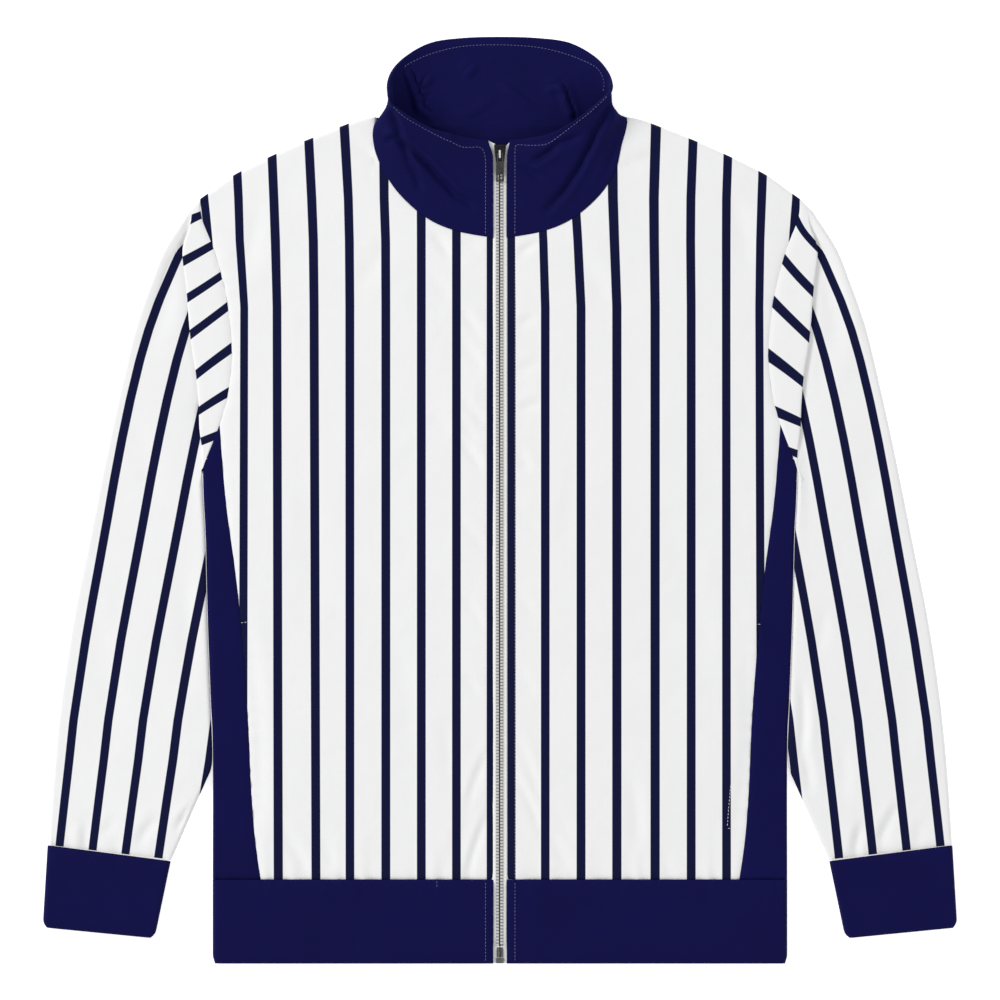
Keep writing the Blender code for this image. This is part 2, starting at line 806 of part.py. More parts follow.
def make_slider():
    pivot_up = zip_height(SLIDER_MIDDLE) + PLATE_OUT + AXIS_ABOVE_PLATE
    pivot = Vector((0.0, SLIDER_MIDDLE, pivot_up)) * MM
    tape = -(PLATE_OUT + AXIS_ABOVE_PLATE)  # the tape's middle, below the axis
    over = block(
        "zip_slider",
        (-PLATE_HALF, PLATE_FOOT, tape + PLATE_IN),
        (PLATE_HALF, PLATE_HEAD, tape + PLATE_OUT),
        ZIP_METAL,
        0.35,
    )
    under = block(
        "slider_under_plate",
        (-PLATE_HALF, PLATE_FOOT, tape - PLATE_OUT),
        (PLATE_HALF, PLATE_HEAD, tape - PLATE_IN),
        ZIP_METAL,
        0.35,
    )
    post = block(
        "slider_post",
        (-1.4, 3.4, tape - PLATE_IN - 0.4),
        (1.4, PLATE_HEAD - 0.8, tape + PLATE_IN + 0.4),
        ZIP_METAL,
    )
    bridge = block("slider_bridge", (-1.0, -3.4, -2.0), (1.0, 3.4, 1.75), ZIP_METAL, 0.3)
    window = block("slider_window", (-2.0, -2.4, -1.5), (2.0, 2.4, 0.85), ZIP_METAL)
    cut(bridge, window)
    for piece in (over, under, post, bridge, window):
        seat(piece, pivot)
    join("zip_slider", [over, under, post, bridge])

    tab = block("zip_pull", (-3.35, -21.6, -0.6), (3.35, -5.6, 0.6), ZIP_METAL, 0.3)
    arm_left = block("pull_arm_left", (1.4, -7.0, -0.55), (2.5, 1.0, 0.55), ZIP_METAL, 0.2)
    arm_right = block("pull_arm_right", (-2.5, -7.0, -0.55), (-1.4, 1.0, 0.55), ZIP_METAL, 0.2)
    pin = block("pull_pin", (-2.0, -0.45, -0.45), (2.0, 0.45, 0.45), ZIP_METAL, 0.15, 1)
    eye = block("pull_eye", (-1.8, -20.6, -1.0), (1.8, -16.0, 1.0), ZIP_METAL)
    for piece in (tab, arm_left, arm_right, pin, eye):
        seat(piece, pivot)
    join("zip_pull", [tab, arm_left, arm_right, pin])
    cut(tab, eye)


def make_zip_end():
    """Insertion pin and retaining box at the foot of the zip."""
    low, high = ZIP_LEVEL - 1.3, ZIP_LEVEL + 1.4
    block("zip_box", (-3.3, -384.2, low), (3.3, -379.6, high), ZIP_METAL, 0.4)
    block("zip_pin", (-2.9, -379.3, low + 0.3), (2.9, -370.3, high - 0.3), ZIP_METAL, 0.4)


# ---- Pocket bags ----
def make_pocket_bags():
    """Flat bags behind the fronts. Their mouths are in the side-panel seams."""
    top, foot = -88.0, -300.0
    inner = 84.0
    thick = 2.0
    level = THICK - WALL - SEAM

    def place(u, v):
        up = mix(foot, top, v)
        end = smooth_step(0.0, 0.14, v) * (1.0 - smooth_step(0.86, 1.0, v))
        outer_x = side_seam.across_at(up) - 1.0
        return mix(inner + 22.0 * (1.0 - end), outer_x, u), up, level

    for side, hand in ((1, "left"), (-1, "right")):
        cloth(f"pocket_bag_{hand}", 3, 7, place, thick, WHITE_KNIT, side=side)


def main():
    for old in list(bpy.data.objects):
        bpy.data.objects.remove(old)
    make_body()
    make_hem_band()
    make_sleeves()
    make_cuffs()
    make_collar()
    make_neck_facing()
    make_tapes()
    make_chain()
    make_slider()
    make_zip_end()
    make_pocket_bags()


main()
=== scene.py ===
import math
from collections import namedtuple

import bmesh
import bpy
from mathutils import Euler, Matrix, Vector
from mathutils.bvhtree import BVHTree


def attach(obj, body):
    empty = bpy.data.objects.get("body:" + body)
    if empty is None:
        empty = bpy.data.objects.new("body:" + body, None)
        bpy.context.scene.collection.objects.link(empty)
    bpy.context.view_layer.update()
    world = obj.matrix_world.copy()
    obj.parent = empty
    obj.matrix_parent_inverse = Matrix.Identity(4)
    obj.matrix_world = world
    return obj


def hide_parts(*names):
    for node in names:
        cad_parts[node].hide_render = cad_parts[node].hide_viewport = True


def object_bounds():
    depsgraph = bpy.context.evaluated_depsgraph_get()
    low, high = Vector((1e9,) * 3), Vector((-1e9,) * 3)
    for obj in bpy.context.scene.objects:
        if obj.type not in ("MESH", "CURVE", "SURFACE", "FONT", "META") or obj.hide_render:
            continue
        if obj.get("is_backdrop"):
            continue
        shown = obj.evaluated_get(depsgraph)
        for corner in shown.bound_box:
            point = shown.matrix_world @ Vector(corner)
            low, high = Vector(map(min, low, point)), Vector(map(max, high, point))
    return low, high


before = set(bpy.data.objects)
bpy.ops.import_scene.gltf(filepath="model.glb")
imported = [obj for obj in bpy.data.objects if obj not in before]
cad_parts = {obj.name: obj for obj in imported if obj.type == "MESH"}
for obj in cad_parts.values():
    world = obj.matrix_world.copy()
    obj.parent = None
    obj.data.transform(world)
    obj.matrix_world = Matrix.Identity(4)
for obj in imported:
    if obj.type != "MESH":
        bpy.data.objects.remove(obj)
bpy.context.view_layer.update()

# %% [markdown]
# # A zip-up track jacket, laid flat
#
# The jacket lies on its back on a plain surface. Its measured solids are already in the scene,
# so each piece of cloth here is a thin, finely divided shell on the form of the solid that it
# stands for, with the creases, the printed stripes, the stitches and the zip teeth added.
# +X is towards the wearer's left sleeve, +Y towards the collar and +Z up from the surface.

MM = 0.001
print("solids:", ", ".join(sorted(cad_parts)))

# %% [markdown]
# ## Colours and nodes
#
# Colours are written as they look on a screen, in hex, and one function turns them to the linear
# light that the renderer adds up. The other functions each add one kind of shader node.

# %% Helpers for materials


def linear(hex_colour):
    """The linear RGBA of a colour written like "14124A"."""
    found = []
    for start in (0, 2, 4):
        value = int(hex_colour[start : start + 2], 16) / 255.0
        found.append(value / 12.92 if value <= 0.04045 else ((value + 0.055) / 1.055) ** 2.4)
    return (*found, 1.0)


def add_node(tree, kind, inputs=None, **settings):
    """Adds one node. `inputs` pairs a socket's name or place with a value or with an output."""
    node = tree.nodes.new(kind)
    for name, value in settings.items():
        setattr(node, name, value)
    for socket, value in (inputs or {}).items():
        if isinstance(value, bpy.types.NodeSocket):
            tree.links.new(value, node.inputs[socket])
        else:
            node.inputs[socket].default_value = value
    return node


def start_material(name, roughness, metallic=0.0):
    """An empty Principled material and its node tree."""
    made = bpy.data.materials.new(name)
    made.use_nodes = True
    shader = made.node_tree.nodes["Principled BSDF"]
    shader.inputs["Roughness"].default_value = roughness
    shader.inputs["Metallic"].default_value = metallic
    return made, made.node_tree, shader


print("white cloth in linear light:", [round(part, 3) for part in linear("F2F2F3")[:3]])

# %% [markdown]
# ## Knitted polyester
#
# The cloth is a smooth interlock knit of polyester. Its face is rows of fine V-shaped stitches,
# about a millimetre apart, which scatter light softly and give a faint sheen at the edges. The
# stripes are printed, so they have a colour but no height. A UV map carries the pattern round
# every fold: U counts the stripes across the cloth, and V runs along them in the same unit.
# The stitches could be modelled, but at this size a bump from two waves costs nothing.

# %% The knit
STRIPE_PITCH = 29.5  # mm from one stripe's middle to the next
STRIPE_WIDTH = 7.4
STITCH = 1.1  # mm across one column of stitches


def knit_height(tree, uv):
    """Height of the knit's face: V-shaped stitches in columns, 0 to 1."""
    parts = add_node(tree, "ShaderNodeSeparateXYZ", {0: uv})
    count = STRIPE_PITCH / STITCH
    across = add_node(tree, "ShaderNodeMath", {0: parts.outputs[0], 1: count}, operation="MULTIPLY")
    legs = add_node(tree, "ShaderNodeMath", {0: across.outputs[0], 1: 0.5}, operation="PINGPONG")
    along = add_node(
        tree, "ShaderNodeMath", {0: parts.outputs[1], 1: count * 1.25}, operation="MULTIPLY"
    )
    slant = add_node(
        tree,
        "ShaderNodeMath",
        {0: legs.outputs[0], 1: 1.2, 2: along.outputs[0]},
        operation="MULTIPLY_ADD",
    )
    rows = add_node(tree, "ShaderNodeMath", {0: slant.outputs[0], 1: 0.5}, operation="PINGPONG")
    return add_node(
        tree, "ShaderNodeMath", {0: legs.outputs[0], 1: rows.outputs[0]}, operation="ADD"
    )


def knit(name, ground, shade, sheen, print_colour=None):
    """Interlock knit: `ground` is its colour, `shade` that colour in its slightly duller places."""
    made, tree, shader = start_material(name, 0.78)
    shader.inputs["Sheen Weight"].default_value = sheen
    shader.inputs["Sheen Roughness"].default_value = 0.45
    shader.inputs["Specular IOR Level"].default_value = 0.1
    uv = add_node(tree, "ShaderNodeUVMap", uv_map="cloth").outputs[0]
    place = add_node(tree, "ShaderNodeTexCoord").outputs["Object"]
    # Dye and pressing leave the cloth a little uneven over a hand's width.
    mottle = add_node(
        tree,
        "ShaderNodeTexNoise",
        {"Vector": place, "Scale": 22.0, "Detail": 3.0, "Roughness": 0.55},
    )
    colour = add_node(
        tree,
        "ShaderNodeMix",
        {"Factor": mottle.outputs[0], 6: linear(ground), 7: linear(shade)},
        data_type="RGBA",
    ).outputs[2]
    if print_colour:
        parts = add_node(tree, "ShaderNodeSeparateXYZ", {0: uv})
        off = add_node(
            tree, "ShaderNodeMath", {0: parts.outputs[0], 1: 0.5}, operation="PINGPONG"
        )
        half = STRIPE_WIDTH / STRIPE_PITCH / 2.0
        soft = 0.25 / STRIPE_PITCH  # the ink spreads a quarter of a millimetre
        ink = add_node(
            tree,
            "ShaderNodeMapRange",
            {0: off.outputs[0], 1: half - soft, 2: half + soft, 3: 1.0, 4: 0.0},
            interpolation_type="SMOOTHSTEP",
        )
        colour = add_node(
            tree,
            "ShaderNodeMix",
            {"Factor": ink.outputs[0], 6: colour, 7: linear(print_colour)},
            data_type="RGBA",
        ).outputs[2]
    tree.links.new(colour, shader.inputs["Base Color"])
    creases = add_node(
        tree,
        "ShaderNodeTexNoise",
        {"Vector": place, "Scale": 34.0, "Detail": 2.0, "Roughness": 0.5, "Distortion": 0.4},
    )
    soft_bump = add_node(
        tree,
        "ShaderNodeBump",
        {"Strength": 0.35, "Distance": 0.0022, "Height": creases.outputs[0]},
    )
    fine_bump = add_node(
        tree,
        "ShaderNodeBump",
        {
            "Strength": 0.30,
            "Distance": 0.00025,
            "Height": knit_height(tree, uv).outputs[0],
            "Normal": soft_bump.outputs[0],
        },
    )
    tree.links.new(fine_bump.outputs[0], shader.inputs["Normal"])
    return made


white_knit = knit("white printed interlock knit", "F1F1F1", "EDEDEE", 0.08, print_colour="0A0E36")
navy_knit = knit("navy interlock knit", "0B0A49", "08073D", 0.012)
bag_knit = knit("white pocket knit", "F2F2F3", "ECECEE", 0.08)
print("knit columns to a stripe:", round(STRIPE_PITCH / STITCH, 1))

# %% [markdown]
# ## Tape, thread and metal
#
# The zip tape is woven polyester in a fine herringbone, slightly greyer than the cloth. The
# thread is spun polyester with a soft twist. The teeth are stamped from a pale alloy and
# tumbled, so their edges shine. The slider is plated in a darker gunmetal, and the left of its
# bridge's top is pale alloy as a painted highlight. The cord under the teeth is painted dark as
# the shade between them.

# %% The woven tape
tape_weave, tree, shader = start_material("woven polyester zip tape", 0.72)
place = add_node(tree, "ShaderNodeTexCoord").outputs["Object"]
twill = add_node(
    tree,
    "ShaderNodeTexWave",
    {"Vector": place, "Scale": 1000.0 / 0.9 / 6.28, "Distortion": 0.0},
    wave_type="BANDS",
    bands_direction="DIAGONAL",
)
weave_colour = add_node(
    tree,
    "ShaderNodeMix",
    {"Factor": twill.outputs[1], 6: linear("EDEDEA"), 7: linear("F6F6F3")},
    data_type="RGBA",
)
tree.links.new(weave_colour.outputs[2], shader.inputs["Base Color"])
weave_bump = add_node(
    tree, "ShaderNodeBump", {"Strength": 0.4, "Distance": 0.0001, "Height": twill.outputs[1]}
)
tree.links.new(weave_bump.outputs[0], shader.inputs["Normal"])

# %% The thread


def thread(name, colour):
    """Spun polyester thread: matt, with a fine twist."""
    made, tree, shader = start_material(name, 0.6)
    place = add_node(tree, "ShaderNodeTexCoord").outputs["Object"]
    twist = add_node(
        tree,
        "ShaderNodeTexWave",
        {"Vector": place, "Scale": 1000.0 / 0.5 / 6.28},
        wave_type="BANDS",
        bands_direction="DIAGONAL",
    )
    bump = add_node(
        tree, "ShaderNodeBump", {"Strength": 0.3, "Distance": 0.00005, "Height": twist.outputs[1]}
    )
    tree.links.new(bump.outputs[0], shader.inputs["Normal"])
    shader.inputs["Base Color"].default_value = linear(colour)
    return made


lilac_thread = thread("pale grey spun thread", "8584AC")
white_thread = thread("white spun thread", "EDEDEF")

# %% The zip's metals


def metal(name, dark, bright, roughness, metallic=1.0):
    """A tumbled or plated alloy, brighter in patches where it is rubbed."""
    made, tree, shader = start_material(name, roughness, metallic)
    place = add_node(tree, "ShaderNodeTexCoord").outputs["Object"]
    rubbed = add_node(
        tree, "ShaderNodeTexNoise", {"Vector": place, "Scale": 420.0, "Detail": 4.0}
    )
    colour = add_node(
        tree,
        "ShaderNodeMix",
        {"Factor": rubbed.outputs[0], 6: linear(dark), 7: linear(bright)},
        data_type="RGBA",
    )
    tree.links.new(colour.outputs[2], shader.inputs["Base Color"])
    grain = add_node(
        tree, "ShaderNodeTexNoise", {"Vector": place, "Scale": 2400.0, "Detail": 2.0}
    )
    bump = add_node(
        tree, "ShaderNodeBump", {"Strength": 0.25, "Distance": 0.00005, "Height": grain.outputs[0]}
    )
    tree.links.new(bump.outputs[0], shader.inputs["Normal"])
    return made


# The pale alloy is the teeth's own colour; on the slider's bridge it is a painted highlight.
pale_alloy_and_highlight = metal("tumbled pale alloy and painted highlight", "D8D8D6", "F4F4F2", 0.30, metallic=0.6)
gunmetal = metal("gunmetal plate", "161618", "757578", 0.28)
worn_gunmetal = metal("worn gunmetal", "303032", "9C9C9E", 0.32)
black_alloy = metal("blackened slider alloy", "050506", "454548", 0.22)
# The cord's dark colour is painted shade in the gaps between the teeth, and its grey edges are
# painted shade between the heels.
cord_painted_shade = thread("zip cord painted dark as shade between teeth", "2E2E31")
cord_side_painted_shade = thread("zip cord edges painted grey as shade between heels", "8C8C8E")
print("metals:", pale_alloy_and_highlight.name, "and", gunmetal.name)

# %% [markdown]
# ## Lines of the garment
#
# The pieces meet along shared lines: the shoulder, the armhole, the side seams and the edges of
# the sleeve. Each is a short table of places in millimetres, with `across` measured from the zip
# and `up` towards the collar, for the wearer's left half. The right half is the mirror image.
# A smooth line through a few measured places bends as cut cloth does.

# %% Smooth lines
Spot = namedtuple("Spot", "across up")


def spots(*places):
    return [Spot(*place) for place in places]


def mix(start, end, share):
    return start + (end - start) * share


def smooth_step(start, end, value):
    share = min(1.0, max(0.0, (value - start) / (end - start)))
    return share * share * (3.0 - 2.0 * share)


def inset_of(tilt, radius):
    """How far in from a rolled edge's outside a point at this tilt lies."""
    return radius * (1.0 - math.cos(math.radians(tilt)))


def read_table(table, value):
    """Straight-line reading of a table of (value, result) rows in rising order."""
    for (low, first), (high, second) in zip(table, table[1:]):
        if value <= high:
            return mix(first, second, (value - low) / (high - low))
    (low, first), (high, second) = table[-2:]
    return mix(first, second, (value - low) / (high - low))


def lengths_along(places):
    """The distance walked on reaching each place."""
    reach = [0.0]
    for start, end in zip(places, places[1:]):
        reach.append(reach[-1] + (end - start).length)
    return reach


class Line:
    """A smooth line through its stops, read by the share of its length."""

    def __init__(self, stops, steps=12):
        stops = [Vector(stop) for stop in stops]
        self.places = []
        padded = [stops[0], *stops, stops[-1]]
        for before, start, end, after in zip(padded, padded[1:], padded[2:], padded[3:]):
            for step in range(steps):
                self.places.append(self.bend(before, start, end, after, step / steps))
        self.places.append(stops[-1])
        self.reach = lengths_along(self.places)
        self.length = self.reach[-1]

    @staticmethod
    def bend(before, start, end, after, share):
        """Catmull-Rom interpolation between start and end."""
        pull = (end - before) * 0.5
        push = (after - start) * 0.5
        square, cube = share**2, share**3
        return (
            start * (2 * cube - 3 * square + 1)
            + pull * (cube - 2 * square + share)
            + end * (3 * square - 2 * cube)
            + push * (cube - square)
        )

    def at(self, share):
        target = min(1.0, max(0.0, share)) * self.length
        low, high = 0, len(self.reach) - 1
        while high - low > 1:
            middle = (low + high) // 2
            if self.reach[middle] < target:
                low = middle
            else:
                high = middle
        part = (target - self.reach[low]) / (self.reach[high] - self.reach[low])
        return mix(self.places[low], self.places[high], part)

    def beside(self, share, gap):
        """The place `gap` to the left of the line, looking along it."""
        along = self.at(share + 0.01) - self.at(share - 0.01)
        return self.at(share) + Vector((-along.y, along.x)).normalized() * gap

    def across_at(self, up):
        """`across` where the line passes this height. The line runs down."""
        for start, end in zip(self.places, self.places[1:]):
            if end.y <= up <= start.y:
                return mix(start.x, end.x, (start.y - up) / (start.y - end.y))
        return self.places[0].x if up > self.places[0].y else self.places[-1].x


# %% The jacket's own lines
THICK = 6.4  # mm, front cloth over back cloth
RADIUS = THICK / 2.0
SEAM = 0.05  # mm, left open between two pieces
HEM_TOP, HEM_BOTTOM = -314.6, -384.3
FOOT_UP = HEM_TOP + SEAM / 2.0
TAPE_SHOWS = 5.6  # mm from the zip's middle to a front's edge
SIDE_GAP = 0.4  # mm between the sleeve and the body
SHOULDER = spots(
    (104.5, 317.2), (139.0, 307.1), (169.7, 294.6), (196.3, 282.2), (220.4, 269.8),
    (238.2, 257.3), (248.6, 249.9),
)
ARMHOLE = spots(
    (248.6, 249.9), (248.2, 239.0), (246.2, 230.2), (238.2, 210.0), (230.2, 183.0),
    (225.4, 157.7), (222.4, 126.2), (223.1, 108.0), (225.9, 86.0), (232.5, 62.5),
)
UNDERARM = [Spot(232.5, 62.5), Spot(246.5, 26.6)]
SIDE = spots(
    (246.5, 26.6), (245.7, 0.0), (244.0, -33.2), (242.4, -99.6), (239.9, -166.0),
    (238.2, -206.0), (238.2, -314.6),
)
armhole = Line(ARMHOLE)
sleeve_seam = Line([*ARMHOLE, *UNDERARM[1:]])
side_edge = Line(SIDE)
side_seam = Line(
    spots(
        (232.5, 62.5), (227.4, 0.0), (219.6, -58.0), (215.0, -101.0), (209.2, -176.8),
        (206.3, -240.0), (203.0, -282.0), (198.4, -314.6),
    )
)
outer_edge = Line(
    spots(
        (259.8, 239.0), (263.9, 232.4), (279.7, 207.5), (289.7, 182.6), (298.8, 157.7),
        (306.3, 132.8), (317.9, 83.0), (328.7, 33.2), (342.0, -33.2), (355.2, -99.6),
        (365.2, -166.0), (371.0, -224.1), (375.2, -286.1),
    )
)
SLEEVE_FLARE = spots(
    (239.4, -222.0), (243.6, -232.4), (249.6, -246.0), (258.1, -265.6), (265.5, -283.0),
    (272.8, -299.1),
)
inner_edge = Line(
    [Spot(SIDE[0].across + SIDE_GAP, 18.3)]
    + [Spot(spot.across + SIDE_GAP, spot.up) for spot in SIDE[1:-1]]
    + SLEEVE_FLARE
)
PLEAT_FOLD = spots(
    (258.4, 226.6), (263.2, 205.0), (260.1, 175.1), (256.5, 132.0), (252.3, 105.4),
    (249.8, 78.0), (249.0, 46.5),
)
pleat_edge = Line([outer_edge.at(0.0), *PLEAT_FOLD, inner_edge.at(0.0)])
print(f"armhole {armhole.length:.0f} mm, sleeve {outer_edge.length:.0f} mm")

# %% [markdown]
# ## Creases
#
# A pressed jacket that is laid down keeps a few soft creases: short ones that fan from the hem
# and the zip, longer ones where the collar bends, and a gentle unevenness everywhere. Each crease
# is placed one by one, as a trough with a ridge beside it that fades out at both ends. A cloth
# simulation would wrinkle the whole jacket alike, so these are raised and sunk directly.

# %% Creases, one by one
Crease = namedtuple("Crease", "x0 y0 x1 y1 width depth")


def creases(*rows):
    return [Crease(*row) for row in rows]


BODY_CREASES = creases(
    # near the neck
    (-122, 298, -103, 281, 5, 1.0), (102, 277, 132, 286, 6, 1.0), (-55, 221, -41, 204, 4.4, 1.5),
    (-30, 216, -18, 211, 4, 0.8), (16, 205, 32, 215, 3.8, 1.4), (62, 206, 88, 168, 8, 0.8),
    (-92, 214, -118, 176, 8, 0.7),
    # beside the zip
    (-57, 183, -41, 167, 6, 0.7), (-31, 156, -18, 140, 3.8, 1.2), (-30, 128, -16, 112, 4, 1.0),
    (-31, 83, -13, 65, 4, 1.0), (-31, 63, -20, 51, 3.8, 0.9), (-31, 48, -16, 29, 3.8, 1.5),
    (-56, 68, -41, 58, 6, 0.7), (-29, -22, -12, -40, 4, 0.9), (-28, -84, -14, -103, 4, 0.8),
    (-30, -146, -17, -160, 4, 0.7), (16, 144, 26, 152, 4, 0.8), (14, 108, 30, 112, 4.5, 0.8),
    (16, 76, 32, 80, 4, 0.9), (15, 40, 24, 26, 4, 0.9), (14, -12, 30, -20, 4.5, 0.7),
    (14, -76, 27, -92, 4, 0.7), (15, -142, 28, -158, 4, 0.8),
    # at the hem
    (-27, -250, -12, -210, 3.2, 1.1), (-28, -311, -12, -261, 3.0, 1.5),
    (-44, -190, -41, -224, 6, 0.7), (-47, -309, -36, -276, 5, 0.4), (15, -197, 33, -245, 4, 0.8),
    (14, -228, 35, -274, 3.2, 1.2), (43, -254, 57, -275, 5, 0.5), (42, -277, 58, -306, 4.4, 0.9),
    (111, -236, 115, -283, 6, 1.0), (134, -294, 143, -311, 5, 0.9),
    (-177, -278, -158, -311, 5, 1.2), (-145, -286, -137, -303, 5, 0.9),
    # down the sides
    (-205, -105, -196, -270, 6, 0.9), (209, -135, 200, -278, 6, 0.9),
    (196, 246, 208, 196, 8, 0.9), (-200, 240, -212, 190, 8, 0.9), (150, -40, 172, -128, 10, 0.5),
    (-160, 20, -150, -90, 11, 0.5), (70, 60, 52, -40, 10, 0.4), (-84, -120, -70, -210, 10, 0.5),
)
SLEEVE_CREASES = creases(
    (-267, -271, -254, -255, 3.8, 2.0), (-300, -283, -286, -265, 4.5, 1.2),
    (-331, -277, -320, -267, 4, 0.8), (-344, -287, -344, -270, 4, 1.0),
    (252, -158, 252, -206, 4, 2.0), (252, -206, 258, -238, 4, 1.5),
    (294, -291, 299, -270, 3.8, 1.8), (314, -282, 329, -254, 3.8, 1.8),
    (345, -286, 350, -268, 5, 0.9), (269, -94, 265, -122, 6, 0.7),
    (285, -207, 286, -242, 6, 0.7), (270, 184, 285, 124, 8, 1.0), (276, 150, 268, 96, 8, 0.7),
    (-272, 182, -286, 130, 8, 0.9), (-300, 60, -288, 10, 10, 0.6), (312, 40, 300, -30, 11, 0.6),
    (-262, -60, -256, -140, 9, 0.8), (-330, -110, -322, -190, 11, 0.5),
    (336, -120, 340, -200, 11, 0.5),
)
COLLAR_CREASES = creases(
    # outer face, in front
    (-89, 319, -82, 297, 3.4, 3.6), (-82, 297, -66, 284, 2.9, 4.5),
    (-66, 284, -50, 267, 2.9, 4.8), (-50, 267, -37, 253, 3.0, 4.2),
    (-37, 253, -23, 245, 3.2, 2.8), (-81, 295, -75, 280, 3.0, 2.8),
    (-75, 280, -66, 260, 3.2, 2.8), (-95, 298, -85, 299, 2.8, 2.5), (90, 324, 80, 304, 3.4, 4.2),
    (80, 304, 71, 285, 3.0, 4.5), (71, 285, 61, 267, 3.0, 4.5), (61, 267, 47, 248, 3.2, 4.2),
    (47, 248, 38, 240, 3.4, 2.8), (47, 292, 28, 280, 3.0, 3.9), (18, 276, 33, 267, 3.0, 2.2),
    (65, 300, 48, 294, 3.2, 2.8), (99, 300, 88, 264, 4.5, 1.8),
    # inside, on the back
    (-77, 357, -70, 340, 2.8, 4.3), (-70, 340, -66, 323, 2.8, 4.6),
    (-66, 327, -53, 312, 3.0, 4.1), (-68, 334, -61, 334, 2.6, 3.2),
    (-66, 342, -57, 352, 3.0, 2.6), (-28, 352, -21, 361, 3.0, 2.9), (3, 344, 25, 327, 4.0, 2.9),
    (50, 344, 55, 330, 2.8, 4.3), (55, 330, 60, 316, 2.8, 4.3), (40, 341, 50, 343, 3.0, 2.3),
    (-8, 330, -30, 318, 5.0, 1.7),
)


def bell(distance, width):
    return math.exp(-((distance / width) ** 2))


def creased(x, y, placed):
    """Height that the creases add at this place, in mm."""
    height = 0.0
    for crease in placed:
        run = Vector((crease.x1 - crease.x0, crease.y1 - crease.y0))
        offset = Vector((x - crease.x0, y - crease.y0))
        along = offset.dot(run) / run.length_squared
        if not -0.35 < along < 1.35:
            continue
        side = (run.x * offset.y - run.y * offset.x) / run.length
        side += 0.12 * run.length * (along - 0.5) ** 2  # a crease is never quite straight
        if abs(side) > 4.0 * crease.width:
            continue
        fade = smooth_step(-0.35, 0.35, along) * smooth_step(1.35, 0.65, along)
        trough = bell(side, crease.width)
        ridge = bell(side - 1.7 * crease.width, 1.2 * crease.width)
        height += crease.depth * fade * (0.4 * ridge - trough)
    return height


def uneven(x, y):
    """Slow unevenness of cloth that lies on itself, in mm."""
    return (
        0.10 * math.sin(x / 23.0 + 1.7 * math.sin(y / 61.0))
        + 0.14 * math.sin(y / 37.0 + 1.3 * math.sin(x / 47.0))
        + 0.06 * math.sin((x + y) / 17.0 + 2.0 * math.sin(x / 31.0))
    )


def puckers(along, distance, reach=13.0, depth=0.55):
    """Small ripples that a seam gathers beside it."""
    wave = math.sin(along / 2.6 + 1.9 * math.sin(along / 9.7)) * math.sin(along / 23.0 + 0.4)
    return depth * wave * math.exp(-max(0.0, distance) / reach)


def seam_dip(distance, depth=1.1, reach=2.6):
    """The cloth dives a little where it is sewn."""
    return -depth * math.exp(-max(0.0, distance) / reach)


print(len(BODY_CREASES) + len(SLEEVE_CREASES) + len(COLLAR_CREASES), "creases placed by hand")

# %% [markdown]
# ## A sheet of cloth
#
# Every panel starts as a flat grid. Each of its points is carried to its place on the garment,
# and its UV map is filled with the place of the printed pattern there. A Solidify modifier then
# gives the cloth its thickness inwards, and a small bevel rounds the cut edges.

# %% Making a panel


HANDS = {1: "_left", -1: "_right", 0: ""}
KNIT_WALL, DOUBLED_WALL, SLEEVE_WALL, COLLAR_WALL = 1.1, 2.2, 0.8, 2.0  # mm
made_cloth = {}


def printed_straight(u, v, x, y):
    return x / STRIPE_PITCH, y / STRIPE_PITCH


def mesh_of(name, bm, finish):
    mesh = bpy.data.meshes.new(name)
    bm.to_mesh(mesh)
    bm.free()
    mesh.shade_smooth()
    mesh.materials.append(finish)
    return mesh


def add_object(name, mesh):
    made = bpy.data.objects.new(name, mesh)
    bpy.context.collection.objects.link(made)
    return made


def cloth(
    name, solid, size, place, wall, finish, side=0, ring=False, flip=False, pattern=printed_straight
):
    """A panel of (columns, rows) laid by place(u, v) in mm, in place of a solid.

    Side is 1 for the wearer's left and -1 for the right. Ring joins the first and the last
    columns, flip turns the faces over, and pattern(u, v, x, y) gives the UV, in stripes.
    """
    turn = side or 1
    solid += HANDS[side]
    bm = bmesh.new()
    bmesh.ops.create_grid(bm, x_segments=size[0], y_segments=size[1], size=0.5)
    corners = {vert: (vert.co.x + 0.5, vert.co.y + 0.5) for vert in bm.verts}
    uv_layer = bm.loops.layers.uv.new("cloth")
    places = {vert: place(*spot) for vert, spot in corners.items()}
    for face in bm.faces:
        middle = sum(corners[vert][1] for vert in face.verts) / 4.0
        for loop in face.loops:
            x, y, _ = places[loop.vert]
            loop[uv_layer].uv = pattern(corners[loop.vert][0], middle, x * turn, y)
    for vert, (x, y, z) in places.items():
        vert.co = Vector((x * turn, y, z)) * MM
    if ring:
        bmesh.ops.remove_doubles(bm, verts=bm.verts, dist=0.001 * MM)
    if flip != (side < 0):
        bmesh.ops.reverse_faces(bm, faces=bm.faces)
    name += HANDS[side]
    made = add_object(name, mesh_of(name, bm, finish))
    thickness = made.modifiers.new("Thickness", "SOLIDIFY")
    thickness.thickness = wall * MM
    thickness.offset = -1.0
    round_off = made.modifiers.new("Cut edge", "BEVEL")
    round_off.width = 0.3 * wall * MM
    round_off.segments = 2
    round_off.limit_method = "ANGLE"
    round_off.angle_limit = math.radians(70)
    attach(made, "jacket")
    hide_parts(solid)
    made_cloth[solid] = made


def area_of(made):
    """Half the surface of a finished shell, in square metres: the cloth that it takes."""
    shown = made.evaluated_get(bpy.context.evaluated_depsgraph_get())
    mesh = shown.to_mesh()
    total = sum(face.area for face in mesh.polygons)
    shown.to_mesh_clear()
    return total / 2.0


# %% [markdown]
# ## Fronts and back
#
# Each front is cut from one piece of striped knit, and so is the back. In the flat garment the
# cloth rolls over at the shoulder seam, dives into the side seams and ends in a folded edge
# beside the zip. The stripes run straight up the cloth and lean a little near the neck, where
# the shoulders pull it.

